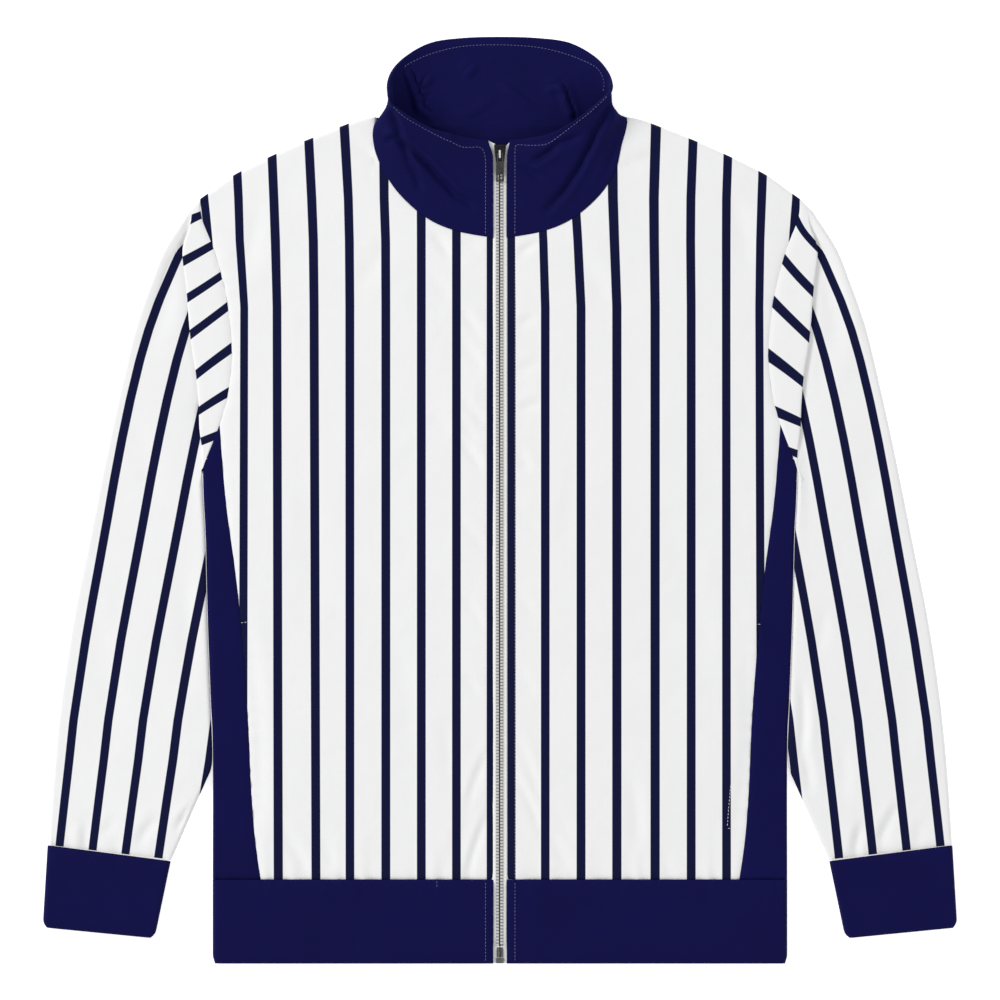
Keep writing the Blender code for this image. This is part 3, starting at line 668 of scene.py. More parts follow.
# %% Where the stripes run on the fronts
# Middles of the stripes, in mm across from the zip, at four heights from the hem up.
LEFT_STRIPES = {
    -314.0: (9.5, 37.4, 67.2, 96.7, 128.7, 158.5, 187.8, 216.8, 246.5),
    160.0: (9.5, 37.4, 67.2, 96.7, 128.7, 158.5, 187.6, 215.0, 241.5),
    215.0: (9.3, 35.8, 64.4, 94.6, 128.0, 158.0, 187.6, 215.8, 242.8),
    250.0: (9.3, 34.0, 62.0, 93.4, 127.8, 158.3, 187.7, 217.0, 245.7),
    320.0: (9.3, 33.0, 60.5, 92.5, 130.0, 161.0, 190.0, 219.5, 248.5),
}
RIGHT_STRIPES = {
    -314.0: (7.5, 36.1, 65.2, 94.6, 124.5, 152.3, 183.9, 213.4, 243.0),
    160.0: (7.5, 36.1, 65.2, 94.6, 124.5, 154.0, 185.1, 212.1, 237.5),
    215.0: (7.5, 36.1, 65.2, 94.8, 124.9, 154.6, 186.3, 216.0, 241.5),
    250.0: (7.5, 36.1, 65.2, 96.1, 125.7, 156.0, 187.6, 216.8, 245.3),
    320.0: (7.5, 36.1, 65.2, 96.5, 130.0, 159.5, 190.5, 220.5, 250.0),
}


def stripe_count(middles, across):
    """How many stripes in from the zip this place is, with a whole number on a stripe."""
    return read_table([(value, index) for index, value in enumerate(middles)], across)


def body_pattern(table):
    """Pattern of a front, read from its table of stripes."""
    heights = sorted(table)

    def pattern(u, v, x, y):
        y_read = min(heights[-1], max(heights[0], y))
        above = next(height for height in heights if height >= y_read)
        below = max([height for height in heights if height < above], default=above)
        first = stripe_count(table[below], abs(x))
        second = stripe_count(table[above], abs(x))
        share = (y_read - below) / (above - below) if above > below else 0.0
        return mix(first, second, share), y / STRIPE_PITCH

    return pattern


print("stripes on each front:", len(LEFT_STRIPES[160.0]) - 1)

# %% The collar's ribs, which also give the neckline
Rib = namedtuple("Rib", "seam belly edge")
BACK_RIBS = (
    Rib((0.0, 309.6, 0.0), (0.0, 350.0, 0.0), (0.0, 384.3, 0.0)),
    Rib((31.5, 309.9, 0.0), (31.5, 350.0, 0.0), (31.5, 383.3, 0.0)),
    Rib((59.8, 311.2, 0.0), (60.0, 348.0, 0.0), (58.1, 379.3, 0.8)),
    Rib((81.3, 313.3, 0.0), (81.0, 343.0, 0.5), (78.8, 367.7, 5.0)),
)
FRONT_RIBS = (
    Rib((61.4, 234.1, 7.4), (48.0, 280.0, 11.5), (41.5, 302.8, 17.0)),
    Rib((37.4, 223.3, 7.4), (30.0, 266.0, 10.5), (26.0, 299.8, 13.5)),
    Rib((5.6, 217.3, 7.4), (5.6, 255.0, 9.1), (10.0, 298.0, 11.0)),
)
LEFT_RIBS = (
    Rib((93.5, 316.6, 0.3), (90.0, 334.0, 2.5), (90.1, 354.4, 13.0)),
    Rib((101.0, 318.0, 2.6), (84.0, 323.5, 9.0), (93.3, 343.0, 23.0)),
    Rib((106.9, 314.8, 5.8), (91.5, 318.0, 12.0), (91.9, 337.4, 27.5)),
    Rib((101.2, 294.5, 7.2), (91.0, 315.0, 12.5), (84.0, 330.0, 27.0)),
    Rib((95.9, 273.5, 7.4), (80.0, 303.5, 12.5), (72.2, 320.0, 24.5)),
    Rib((83.0, 253.1, 7.4), (65.0, 293.5, 12.0), (57.3, 310.3, 20.5)),
)
RIGHT_RIBS = (
    Rib((93.0, 316.6, 0.3), (90.0, 334.0, 2.5), (90.4, 354.4, 13.0)),
    Rib((99.3, 318.2, 2.6), (84.5, 323.5, 9.0), (93.8, 341.0, 22.5)),
    Rib((105.4, 309.3, 5.8), (99.0, 318.3, 12.0), (90.4, 327.0, 26.5)),
    Rib((105.0, 294.0, 7.2), (90.5, 308.0, 12.5), (83.8, 322.5, 25.5)),
    Rib((97.1, 273.5, 7.4), (80.0, 298.5, 12.5), (72.2, 314.5, 23.0)),
    Rib((83.0, 253.1, 7.4), (65.0, 291.0, 12.0), (57.3, 307.0, 19.5)),
)


def half_collar(side_ribs):
    table = BACK_RIBS + side_ribs + FRONT_RIBS
    return [Rib(*(Vector(place) for place in rib)) for rib in table]


half_ribs = {1: half_collar(LEFT_RIBS), -1: half_collar(RIGHT_RIBS)}
back_neck = Line([rib.seam.to_2d() for rib in half_ribs[-1][:5]] + [(104.5, 317.2)])


def rib_at(all_ribs, position):
    """Seam, belly and edge of the collar between its ribs, by a place in their list."""
    index = min(len(all_ribs) - 2, int(position))
    last = len(all_ribs) - 1
    around = [all_ribs[min(last, max(0, index + step))] for step in (-1, 0, 1, 2)]
    return [Line.bend(*stops, position - index) for stops in zip(*around)]


# Foot of the collar on the fronts, from the zip to the neck point. It runs a little under the
# collar near the shoulder.
FRONT_NECK = [(5.6, 217.3), (21.0, 219.4), (37.4, 223.3), (61.4, 234.1), (83.0, 253.1)]
NECK_ENDS = {
    1: [(94.6, 273.5), (99.0, 290.0), (101.5, 304.0), (103.0, 311.0), (104.2, 317.6)],
    -1: [(95.6, 273.5), (101.0, 290.0), (102.0, 303.0), (102.3, 310.0), (102.9, 317.9)],
}
neckline = {side: Line(FRONT_NECK + ends) for side, ends in NECK_ENDS.items()}
front_shoulder = {
    side: Line([ends[-1], (117.0, 315.4), *SHOULDER[1:]]) for side, ends in NECK_ENDS.items()
}
print(f"half neckline {neckline[1].length:.0f} mm")

# %% Laying a front or the back
SEAM_ROWS, ARM_ROWS = 136, 70
TILTS = (75.0, 60.0, 45.0, 30.0, 15.0, 2.0)
BODY_ROWS = SEAM_ROWS + ARM_ROWS + len(TILTS)
NECK_COLUMNS, SHOULDER_COLUMNS = 50, 34
BODY_COLUMNS = NECK_COLUMNS + SHOULDER_COLUMNS
NECK_ROLL = 0.06


def panel_right():
    """Outer edge of a front or back: up the side panel's seam and then the armhole."""
    places = []
    for k in range(SEAM_ROWS + 1):
        up = mix(FOOT_UP, UNDERARM[0].up, k / SEAM_ROWS)
        places.append(Vector((side_seam.across_at(up) - SEAM / 2.0, up)))
    flat = armhole.length - RADIUS
    for k in reversed(range(ARM_ROWS)):
        share = (RADIUS + flat * k / ARM_ROWS) / armhole.length
        places.append(armhole.beside(share, -SEAM / 2.0))
    return places


def body_panel(neck, shoulder, neck_columns, start, is_back, placed):
    """place(u, v) of a front or back panel from the zip or middle out to the armhole."""
    columns = neck_columns + SHOULDER_COLUMNS
    neck_share = neck_columns / columns
    right_places = panel_right()
    flat_rows = len(right_places) - 1
    reach = lengths_along(right_places)

    tuck_under = -SEAM if is_back else 0.8  # how far the neck edge reaches under the collar

    def rolled(u):
        return smooth_step(neck_share - NECK_ROLL, neck_share, u)

    def edge(u):
        if u < neck_share:
            return neck.at(u / neck_share)
        return shoulder.at((u - neck_share) / (1.0 - neck_share)) - Vector((SEAM * u, 0.0))

    def inwards(u):
        """Direction in which the cloth leaves its top edge."""
        here = edge(u)
        before = (here - edge(max(0.0, u - 0.03))).normalized()
        after = (edge(min(1.0, u + 0.03)) - here).normalized()
        along = before + after
        square = Vector((along.y, -along.x)).normalized()
        down_side = (armhole.at(0.03) - armhole.at(0.0)).normalized()
        return square.lerp(down_side, smooth_step(0.85, 1.0, u)).normalized()

    def at_edge(u, tilt):
        inset = inset_of(tilt, RADIUS * mix(0.2, 1.0, rolled(u)))
        return edge(u) + inwards(u) * (inset - tuck_under * (1.0 - rolled(u)))

    heads = [at_edge(k / columns, 90.0) for k in range(columns)] + [right_places[-1]]

    def place(u, v):
        column, row = round(u * columns), round(v * BODY_ROWS)
        if row > flat_rows:
            tilt = TILTS[row - flat_rows - 1]
            spot = at_edge(u, tilt)
            drop = RADIUS * (1.0 - math.sin(math.radians(tilt))) * rolled(u)
            if not is_back:
                drop += 0.9 * (1.0 - rolled(u)) * (row - flat_rows) / len(TILTS)
            return spot.x, spot.y, drop if is_back else THICK - drop
        share = reach[row] / reach[-1]
        foot_left, foot_right = Vector((start, FOOT_UP)), right_places[0]
        flat = mix(mix(foot_left, foot_right, u), heads[column], share)
        left = Vector((start, mix(FOOT_UP, heads[0].y, share)))
        from_left = left - mix(foot_left, heads[0], share)
        from_right = right_places[row] - mix(foot_right, heads[-1], share)
        spot = flat + from_left * (1.0 - u) ** 3 + from_right * u**3
        to_hem = spot.y - FOOT_UP
        to_side = (1.0 - u) * (right_places[row].x - start)
        if is_back:
            lift = 0.5 * math.exp(-min(to_hem, to_side) / 3.0)
            return spot.x, spot.y, lift
        quiet = smooth_step(0.0, 12.0, (heads[column] - spot).length)
        height = (creased(place.side * spot.x, spot.y, placed) + uneven(spot.x, spot.y)) * quiet
        height += puckers(spot.x * place.side, to_hem) + seam_dip(to_hem) + seam_dip(to_side, 0.8)
        height += puckers(spot.y, to_side, 8.0, 0.3)
        height -= 0.8 * math.exp(-max(0.0, spot.x - start) / 2.4)
        return spot.x, spot.y, THICK + height

    place.side = 1
    return place


for side, table in ((1, LEFT_STRIPES), (-1, RIGHT_STRIPES)):
    front = body_panel(
        neckline[side], front_shoulder[side], NECK_COLUMNS, TAPE_SHOWS, False, BODY_CREASES
    )
    front.side = side
    size, pattern = (BODY_COLUMNS, BODY_ROWS), body_pattern(table)
    cloth("front_cloth", "front", size, front, KNIT_WALL, white_knit, side, pattern=pattern)
BACK_NECK_COLUMNS = 24
back_half = body_panel(back_neck, Line(SHOULDER), BACK_NECK_COLUMNS, 0.0, True, ())


def whole_back(u, v):
    half = abs(2.0 * u - 1.0)
    x, y, z = back_half(half, v)
    return (x if u > 0.5 else -x), y, z


def back_pattern(u, v, x, y):
    return x / STRIPE_PITCH + 0.5, y / STRIPE_PITCH


size = 2 * (BACK_NECK_COLUMNS + SHOULDER_COLUMNS), BODY_ROWS
cloth(
    "back_cloth", "back", size, whole_back, KNIT_WALL, white_knit, flip=True, pattern=back_pattern
)
for name in ("front_left", "front_right", "back"):
    print(name, f"{area_of(made_cloth[name]):.3f} square metres")

# %% [markdown]
# ## Side panels, hem band and cuffs
#
# The side panels are plain navy knit that wraps round the side of the body. The hem band and
# the cuffs are the same knit doubled, so their edges are rounder and they stand a little proud.

# %% Round a folded edge
Stop = namedtuple("Stop", "tilt share")
ROLL = (0, 15, 30, 45, 60, 75)


def whole_ring(shares):
    """Stops round a flattened tube: over the top between its rolled edges, and back below."""
    top = [Stop(tilt, 0.0) for tilt in ROLL]
    top += [Stop(90, share) for share in shares]
    top += [Stop(tilt, 1.0) for tilt in reversed(ROLL)]
    under = [Stop(-stop.tilt, stop.share) for stop in reversed(top[1:-1])]
    return top + under


def half_ring(count):
    """Stops over the top, round one rolled edge and back below."""
    top = [Stop(90, k / count) for k in range(count + 1)]
    roll = [Stop(tilt, 1.0) for tilt in range(75, -90, -15)]
    return top + roll + [Stop(-90, stop.share) for stop in reversed(top)]


def ring_stop(ring, u):
    return ring[round(u * len(ring)) % len(ring)]


def share_along(stop, length, radius):
    """How far along the section's line this stop lies, rolled edges and all."""
    inset = inset_of(stop.tilt, radius)
    return (inset + stop.share * (length - 2.0 * inset)) / length


def edge_sink(distance, depth, reach):
    """How far doubled cloth rounds down to its edge."""
    return depth * math.exp(-distance / reach)


def height_at(stop, radius):
    return radius * (1.0 + math.sin(math.radians(stop.tilt)))


# %% The side panels
panel_stops = half_ring(9)


def side_panel(u, v):
    """From the front seam round the side edge to the back seam."""
    stop = panel_stops[round(u * (len(panel_stops) - 1))]
    rim = inset_of(stop.tilt, RADIUS)
    drop = 1.4 * SEAM
    top, low = UNDERARM[0].up - drop, UNDERARM[1].up - drop

    def across(up):
        seam_x = side_seam.across_at(up) + SEAM / 2.0
        edge_x = side_edge.across_at(up)
        flat = mix(seam_x, edge_x - RADIUS, stop.share)
        return flat + (RADIUS - rim if stop.share == 1.0 else 0.0)

    head = top
    for _ in range(6):
        run = UNDERARM[1].across - UNDERARM[0].across
        share = (across(head) - UNDERARM[0].across) / run if stop.share else 0.0
        head = mix(top, low, min(1.0, max(0.0, share)))
    up = mix(FOOT_UP, head, v)
    x = across(up)
    height = 0.0
    if stop.tilt == 90:
        to_seam = x - side_seam.across_at(up)
        height += seam_dip(to_seam, 0.8) + seam_dip(up - FOOT_UP) + seam_dip(head - up, 0.6)
        height += puckers(up + 40.0, to_seam, 9.0, 0.35) + puckers(x, up - FOOT_UP, 10.0, 0.4)
        height += 0.5 * uneven(x, up)
    return x, up, height_at(stop, RADIUS) + height


size = len(panel_stops) - 1, 100
for side in (1, -1):
    cloth("side_cloth", "side_panel", size, side_panel, KNIT_WALL, navy_knit, side)
print(f"side panel {area_of(made_cloth['side_panel_left']):.3f} square metres")

# %% The hem band
BAND_RADIUS = 4.0
band_half = half_ring(70)
BAND_COUNT = 2 * (len(band_half) - 1)


def hem_band(u, v):
    index = round(u * BAND_COUNT)
    stop = band_half[min(index, BAND_COUNT - index)]
    corner = 1.8 * (1.0 - smooth_step(0.0, 0.12, v)) ** 2
    inner_x = TAPE_SHOWS if stop.tilt > 0 else 0.0
    rim = inset_of(stop.tilt, BAND_RADIUS)
    end = SIDE[-1].across - corner - (rim if stop.share == 1.0 else BAND_RADIUS)
    x = mix(inner_x, end, stop.share)
    up = mix(HEM_BOTTOM, HEM_TOP - SEAM / 2.0, v)
    height = 0.0
    if stop.tilt > 0:
        to_top, to_foot = HEM_TOP - up, up - HEM_BOTTOM
        lift = math.sin(math.radians(stop.tilt))
        height -= lift * (edge_sink(to_top, 1.3, 2.6) + edge_sink(to_foot, 1.6, 2.4))
        signed = x if index <= BAND_COUNT // 2 else -x
        height += lift * puckers(signed + 7.0, to_top, 16.0, 0.4)
        height += lift * 0.6 * uneven(signed * 0.8 + 30.0, up * 2.0)
        height -= 0.7 * math.exp(-max(0.0, x - TAPE_SHOWS) / 1.6)
    else:
        height += edge_sink(up - HEM_BOTTOM, 0.8, 2.4) * (stop.tilt < -80)
    return (x if index <= BAND_COUNT // 2 else -x), up, height_at(stop, BAND_RADIUS) + height


cloth("hem_band_cloth", "hem_band", (BAND_COUNT, 26), hem_band, DOUBLED_WALL, navy_knit)
print(f"hem band {area_of(made_cloth['hem_band']):.3f} square metres")

# %% The cuffs
CUFF_RADIUS, CUFF_DEEP = 3.7, 68.0
CUFF_TOP = [Vector((375.2, -286.5)), Vector((273.1, -299.7))]
CUFF_END = [Vector((379.3, -354.4)), Vector((286.4, -363.5))]
cuff_ring = whole_ring([k / 28 for k in range(29)])


def cuff(u, v):
    stop = ring_stop(cuff_ring, u)
    start, finish = mix(CUFF_TOP[0], CUFF_END[0], v), mix(CUFF_TOP[1], CUFF_END[1], v)
    pinch = 3.4 * max(0.0, (v - 0.9) / 0.1) ** 2
    across = (finish - start).normalized() * pinch
    start, finish = start + across, finish - across
    share = share_along(stop, (finish - start).length, CUFF_RADIUS)
    spot = mix(start, finish, share)
    height = height_at(stop, CUFF_RADIUS)
    lift = math.sin(math.radians(stop.tilt))
    if stop.tilt > 0:
        deep = CUFF_DEEP * v
        sink = edge_sink(deep, 1.2, 2.6) + edge_sink(CUFF_DEEP - deep, 1.5, 2.4)
        height -= lift * sink
        height += lift * puckers(spot.x * cuff.side, deep, 12.0, 0.45)
        height += lift * 0.5 * uneven(spot.x * cuff.side, spot.y * 2.0)
    elif stop.tilt < 0:
        height -= lift * edge_sink(CUFF_DEEP * (1.0 - v), 0.7, 2.4)
    return spot.x, spot.y, height


for side in (1, -1):
    cuff.side = side
    size = len(cuff_ring), 30
    cloth("cuff_cloth", "cuff", size, cuff, DOUBLED_WALL, navy_knit, side, ring=True)
print(f"cuff {area_of(made_cloth['cuff_left']):.3f} square metres")

# %% [markdown]
# ## Sleeves and the pleat at the armhole
#
# When such a jacket is laid flat, the spare cloth of the sleeve's head folds over beside the
# armhole seam as a pleat, and the stripes on it run across the ones below. The pleat is laid
# row by row: out from the seam, round the folded edge, back under it, and out again as the
# sleeve. Where it starts and ends, each row slides smoothly from the folded place to the flat.

# %% Laying a sleeve
Tuck = namedtuple("Tuck", "unfolded overlaps out level")
TUCKS = [Tuck(unfolded, None, None, None) for unfolded in (0.0, 0.1, 0.2, 0.3)]
TUCKS += [
    Tuck(*row)
    for row in (
        (0.40, 1.0, -3.0, 2.6), (0.48, 0.5, -2.0, 2.75), (0.54, 0.0, -2.2, 2.8),
        (0.58, 0.0, -1.2, 2.7), (0.61, 0.0, -0.4, 2.4), (0.64, 0.0, -0.05, 1.8),
        (0.67, 0.0, -0.25, 1.1), (0.70, 0.0, -0.9, 0.7), (0.74, 0.3, -1.2, 0.5),
        (0.80, 1.0, 0.0, 0.45), (0.84, 1.0, -0.4, 0.3), (0.88, 1.0, 0.0, 0.05),
        (0.94, 0.4, 0.0, 0.0), (1.00, 0.0, 2.0, 0.0),
    )
]
FIRST_FOLD = 4  # the row where the cloth on top meets the fold
EDGE_TUCK = 9  # the row on the folded edge itself
OVERLAP = 8.0
PLEAT_SINK = 2.6
PLEAT_RISES, PLEAT_FALLS = (0.0, 0.13), (0.80, 1.0)
LAST_TUCK = len(TUCKS) - 1
SLEEVE_ROWS = 112
SLEEVE_COLUMNS = 58
SLEEVE_LENGTH = 560.0
sleeve_ring = whole_ring([k / SLEEVE_COLUMNS for k in range(SLEEVE_COLUMNS + 1)])
Section = namedtuple("Section", "start start_in end end_in")
rise, run = UNDERARM[0].up - UNDERARM[1].up, UNDERARM[1].across - UNDERARM[0].across
up_seam = Vector((-1.0, rise / run))
down_seam = (sleeve_seam.at(0.03) - sleeve_seam.at(0.0)).normalized()


def pleat_depth(share):
    """0 where the sleeve is smooth, 1 where the pleat is folded fully."""
    return smooth_step(*PLEAT_RISES, share) * (1.0 - smooth_step(*PLEAT_FALLS, share))


def below_pleat(share):
    """First row of the sleeve that shows below the pleat."""
    out = TUCKS[-1].out * math.sqrt(pleat_depth(share))
    return pleat_edge.at(share) + Vector((out, 0.0))


def tuck_section(unfolded):
    return Section(
        mix(sleeve_seam.beside(0.0, SEAM / 2.0), outer_edge.at(0.0), unfolded),
        mix(down_seam, outer_edge.beside(0.0, -1.0) - outer_edge.at(0.0), unfolded),
        mix(sleeve_seam.beside(1.0, SEAM / 2.0), inner_edge.at(0.0), unfolded),
        mix(up_seam, Vector((1.0, 0.0)), unfolded),
    )


def sleeve_section(t):
    outer, inner = t**1.15 * (1.25 - 0.25 * t), t**1.3
    start, end = outer_edge.at(outer), inner_edge.at(inner)
    across = outer_edge.beside(outer, -1.0) - start, inner_edge.beside(inner, 1.0) - end
    return Section(start, across[0], end, across[1])


def on_rim(section, stop):
    """Place of a stop on either rolled edge, or None on the flat between them."""
    rim = inset_of(stop.tilt, RADIUS)
    if stop.share == 0.0:
        return section.start + section.start_in * rim
    if stop.share == 1.0:
        return section.end + section.end_in * rim
    return None


def tuck_place(row, stop):
    tuck = TUCKS[row]
    level = height_at(stop, RADIUS)
    spot = on_rim(tuck_section(tuck.unfolded), stop)
    if spot is not None:
        return spot.x, spot.y, level
    share = share_along(stop, sleeve_seam.length, RADIUS)
    seam = sleeve_seam.beside(share, SEAM / 2.0)
    first = below_pleat(share)
    flat = mix(seam, first, tuck.unfolded)
    depth = pleat_depth(share)
    dip = seam_dip(30.0 * tuck.unfolded, 0.7, 3.0)
    if stop.tilt != 90 or row == 0:
        return flat.x, flat.y, level + (dip if stop.tilt > 0 else -0.5 * dip)
    out = (first - seam).normalized()
    base = THICK - PLEAT_SINK
    overlap = OVERLAP * smooth_step(0.3, 1.0, depth)

    def folded(one):
        return first + out * (one.out - TUCKS[-1].out - one.overlaps * overlap)

    if tuck.overlaps is None:
        part = tuck.unfolded / TUCKS[FIRST_FOLD].unfolded
        spot = mix(seam, folded(TUCKS[FIRST_FOLD]), part)
        top = mix(THICK, base + TUCKS[FIRST_FOLD].level, part) + dip
        top += 0.35 * uneven(spot.x * 2.0, spot.y * 1.3) * part
    else:
        spot = folded(tuck)
        top = base + tuck.level
    spot = mix(flat, spot, depth)
    return spot.x, spot.y, mix(level, top, depth)


def sleeve_place(t, stop, side):
    section = sleeve_section(t)
    level = height_at(stop, RADIUS)
    spot = on_rim(section, stop)
    if spot is None:
        share = share_along(stop, sleeve_seam.length, RADIUS)
        chord = mix(outer_edge.at(0.0), inner_edge.at(0.0), share)
        bow = (below_pleat(share) - chord) * (1.0 - t) ** 4
        square = mix(
            section.start + section.start_in * RADIUS,
            section.end + section.end_in * RADIUS,
            stop.share,
        )
        spot = mix(section.start, section.end, share)
        spot = mix(spot, square, smooth_step(0.0, 0.12, t)) + bow
        if stop.tilt == 90:
            level -= PLEAT_SINK * pleat_depth(share) * (1.0 - t) ** 6
            quiet = smooth_step(0.0, 0.06, t)
            level += quiet * creased(spot.x * side, spot.y, SLEEVE_CREASES)
            level += quiet * uneven(spot.x * side, spot.y) * min(1.0, 8.0 * share * (1.0 - share))
            to_cuff = SLEEVE_LENGTH * (1.0 - t)
            level += puckers(spot.x * side, to_cuff, 14.0, 0.6) + seam_dip(to_cuff, 1.2)
    return spot.x, spot.y, level


# %% Where the stripes run on the sleeves
# Middle of the outermost stripe, and the pitch there, by height from the cuff up.
OUTER_STRIPE = [
    (-282.0, 364.6), (-249.0, 360.9), (-216.0, 357.1), (-182.6, 353.5), (-149.4, 348.5),
    (-116.2, 343.5), (-83.0, 337.7), (-49.8, 331.6), (-16.6, 325.6), (16.6, 319.8),
    (49.8, 313.5), (83.0, 306.5), (116.2, 298.5), (141.1, 291.3), (166.0, 282.4), (182.6, 275.2),
    (198.0, 268.5), (207.5, 264.0), (216.0, 255.0), (240.0, 238.0),
]
STRIPE_STEP = {
    1: [(-282.0, 28.4), (240.0, 28.6)],
    -1: [(-282.0, 27.8), (-216.0, 28.6), (-149.0, 29.0), (-83.0, 29.6), (50.0, 30.5)]
    + [(240.0, 30.8)],
}
INNER_GAP = {1: 1.0, -1: 1.07}  # the last stripe before the side panel stands a little apart
# Heights of the stripes on the pleat, at the armhole seam and at the folded edge.
LEFT_STRAND = (
    (231.5, 209.7), (200.2, 172.4), (165.2, 134.6), (120.4, 97.4), (72.2, 63.7), (40.1, 37.6),
    (12.0, 10.0),
)
RIGHT_STRAND = (
    (236.3, 231.2), (211.2, 197.4), (186.1, 167.2), (161.0, 137.0), (126.2, 103.3), (89.2, 73.5),
    (52.7, 48.1), (24.0, 20.0),
)


def sleeve_pattern(side, strand):
    rows = LAST_TUCK + SLEEVE_ROWS

    def pattern(u, middle, x, y):
        if middle * rows < EDGE_TUCK:
            share = share_along(ring_stop(sleeve_ring, u), sleeve_seam.length, RADIUS)
            seam, fold = sleeve_seam.at(share), pleat_edge.at(share)
            gap = max((fold - seam).length, 1.0)
            part = min(1.0, (Vector((abs(x), y)) - seam).length / gap)
            table = [(-mix(a, b, part), k) for k, (a, b) in enumerate(strand)]
            return read_table(table, -y), abs(x) / STRIPE_PITCH
        count = (read_table(OUTER_STRIPE, y) - abs(x)) / read_table(STRIPE_STEP[side], y)
        count = min(count, 3.0 + (count - 3.0) / INNER_GAP[side])
        return count, y / STRIPE_PITCH

    return pattern


rows = LAST_TUCK + SLEEVE_ROWS
size = len(sleeve_ring), rows
for side, strand in ((1, LEFT_STRAND), (-1, RIGHT_STRAND)):

    def sleeve(u, v, side=side):
        stop, row = ring_stop(sleeve_ring, u), round(v * rows)
        if row < LAST_TUCK:
            return tuck_place(row, stop)
        return sleeve_place((row - LAST_TUCK) / SLEEVE_ROWS, stop, side)

    printed = {"ring": True, "pattern": sleeve_pattern(side, strand)}
    cloth("sleeve_cloth", "sleeve", size, sleeve, SLEEVE_WALL, white_knit, side, **printed)
print(f"sleeve {area_of(made_cloth['sleeve_left']):.3f} square metres")

# %% [markdown]
# ## The collar
#
# The collar is a doubled band of navy knit with a stitched edge. Its back lies on the surface,
# its sides stand up and bend, and its front lies back over the fronts. It is swept through ribs
# that each say where its seam, its belly and its edge are, and then creased.

# %% Laying the collar
turn = Vector((-1.0, 1.0, 1.0))
all_ribs = [Rib(*(place * turn for place in rib)) for rib in reversed(half_ribs[-1][1:])]
all_ribs += half_ribs[1]
COLLAR_COLUMNS, COLLAR_ROWS = 300, 46
COLLAR_DEEP = 80.0


def collar_form(u, v):
    """A place on the collar's outer face before it is creased."""
    seam, belly, edge = rib_at(all_ribs, u * (len(all_ribs) - 1))
    return mix(mix(seam, belly, v), mix(belly, edge, v), v)


def collar_place(u, v):
    """The collar's form, with its front edges brought straight beside the zip."""
    spot = collar_form(u, v)
    side = 1.0 if u > 0.5 else -1.0
    near = smooth_step(0.93, 1.0, abs(2.0 * u - 1.0))
    flare = (3.9 if side < 0 else 2.3) * smooth_step(280.0, 298.0, spot.y) ** 2
    spot.x += (side * (5.7 + flare) - collar_form(0.5 + 0.5 * side, v).x) * near
    return spot


def collar(u, v):
    spot = collar_place(u, v)
    step = 0.004
    along = collar_place(min(1.0, u + step), v) - collar_place(max(0.0, u - step), v)
    up = collar_place(u, min(1.0, v + step)) - collar_place(u, max(0.0, v - step))
    outwards = up.cross(along).normalized()
    height = creased(spot.x, spot.y, COLLAR_CREASES) * smooth_step(0.0, 0.15, v)
    if outwards.z < 0.0:
        height = -abs(height) - 0.2  # what lies on its back can only rise from the surface
    tall = COLLAR_DEEP * (1.0 - v)
    height += 0.25 * uneven(spot.x * 1.5, spot.y * 1.5)
    height += 0.3 * puckers(160.0 * u, tall, 9.0, 0.7)
    height -= 0.6 * bell(tall - 6.0, 1.5)
    height += seam_dip(COLLAR_DEEP * v, 0.6, 3.0)
    spot = spot + outwards * height
    return spot.x, spot.y, max(0.0, spot.z)


size = COLLAR_COLUMNS, COLLAR_ROWS
cloth("collar_cloth", "collar", size, collar, COLLAR_WALL, navy_knit, flip=True)
print(f"collar {area_of(made_cloth['collar']):.3f} square metres")

# %% The facing inside the back of the neck
FACING_DEEP, FACING_REACH = 24.0, 0.8


def facing(u, v):
    half = abs(2.0 * u - 1.0)
    top = back_neck.at(half * FACING_REACH)
    up = top.y + 0.8 - FACING_DEEP * (1.0 - v) * (1.0 - 0.55 * half**2)
    x = top.x * (1.0 - 0.12 * (1.0 - v))
    return (x if u > 0.5 else -x), up, 2.75 - 0.8 * smooth_step(1.0, 0.75, v)


cloth("neck_facing_cloth", "neck_facing", (60, 10), facing, 0.7, navy_knit, flip=True)
print(f"facing {area_of(made_cloth['neck_facing']):.4f} square metres")

# %% [markdown]
# ## The zip
#
# A metal zip with a chain 6 mm wide runs from the hem to the top of the collar. Its
# teeth are one shape, repeated on each tape half a pitch apart, so they lock. The slider stays
# at the top, closed, and only its pull tab turns.

# %% How high the zip lies
TAPE_HALF, TAPE_THICK = 14.0, 0.9
TAPE_FOOT, TAPE_TOP = -384.0, 297.6
CHAIN_FOOT, CHAIN_HEAD = -368.6, 277.5
CLIMB_FOOT, CLIMB_HEAD, CLIMB = 217.0, 298.0, 3.6  # the zip climbs with the collar


def zip_height(up):
    """Height of the middle of the tape, which climbs with the collar."""
    climb = (up - CLIMB_FOOT) / (CLIMB_HEAD - CLIMB_FOOT)
    return 4.05 + CLIMB * min(1.0, max(0.0, climb))


def zip_rise(up):
    """The chain stands up between the fronts until the slider presses it down."""
    return 1.8 * smooth_step(276.0, 262.0, up) * smooth_step(-376.0, -362.0, up)


def tape(u, v, slant):
    up = mix(TAPE_FOOT, TAPE_TOP, v)
    ear = smooth_step(286.0, TAPE_TOP, up)
    x = mix(0.35 + 2.85 * smooth_step(272.0, 284.0, up) + 0.6 * ear, TAPE_HALF, u)
    down = ear * max(0.0, 9.4 - x) * slant  # the top is cut on a slant
    z = zip_height(up) + TAPE_THICK / 2.0 + 1.2 * ear * (1.0 - u) - 0.25 * bell(x - 3.6, 0.5)
    return x, up - down, z + zip_rise(up) * smooth_step(6.6, 5.6, x)


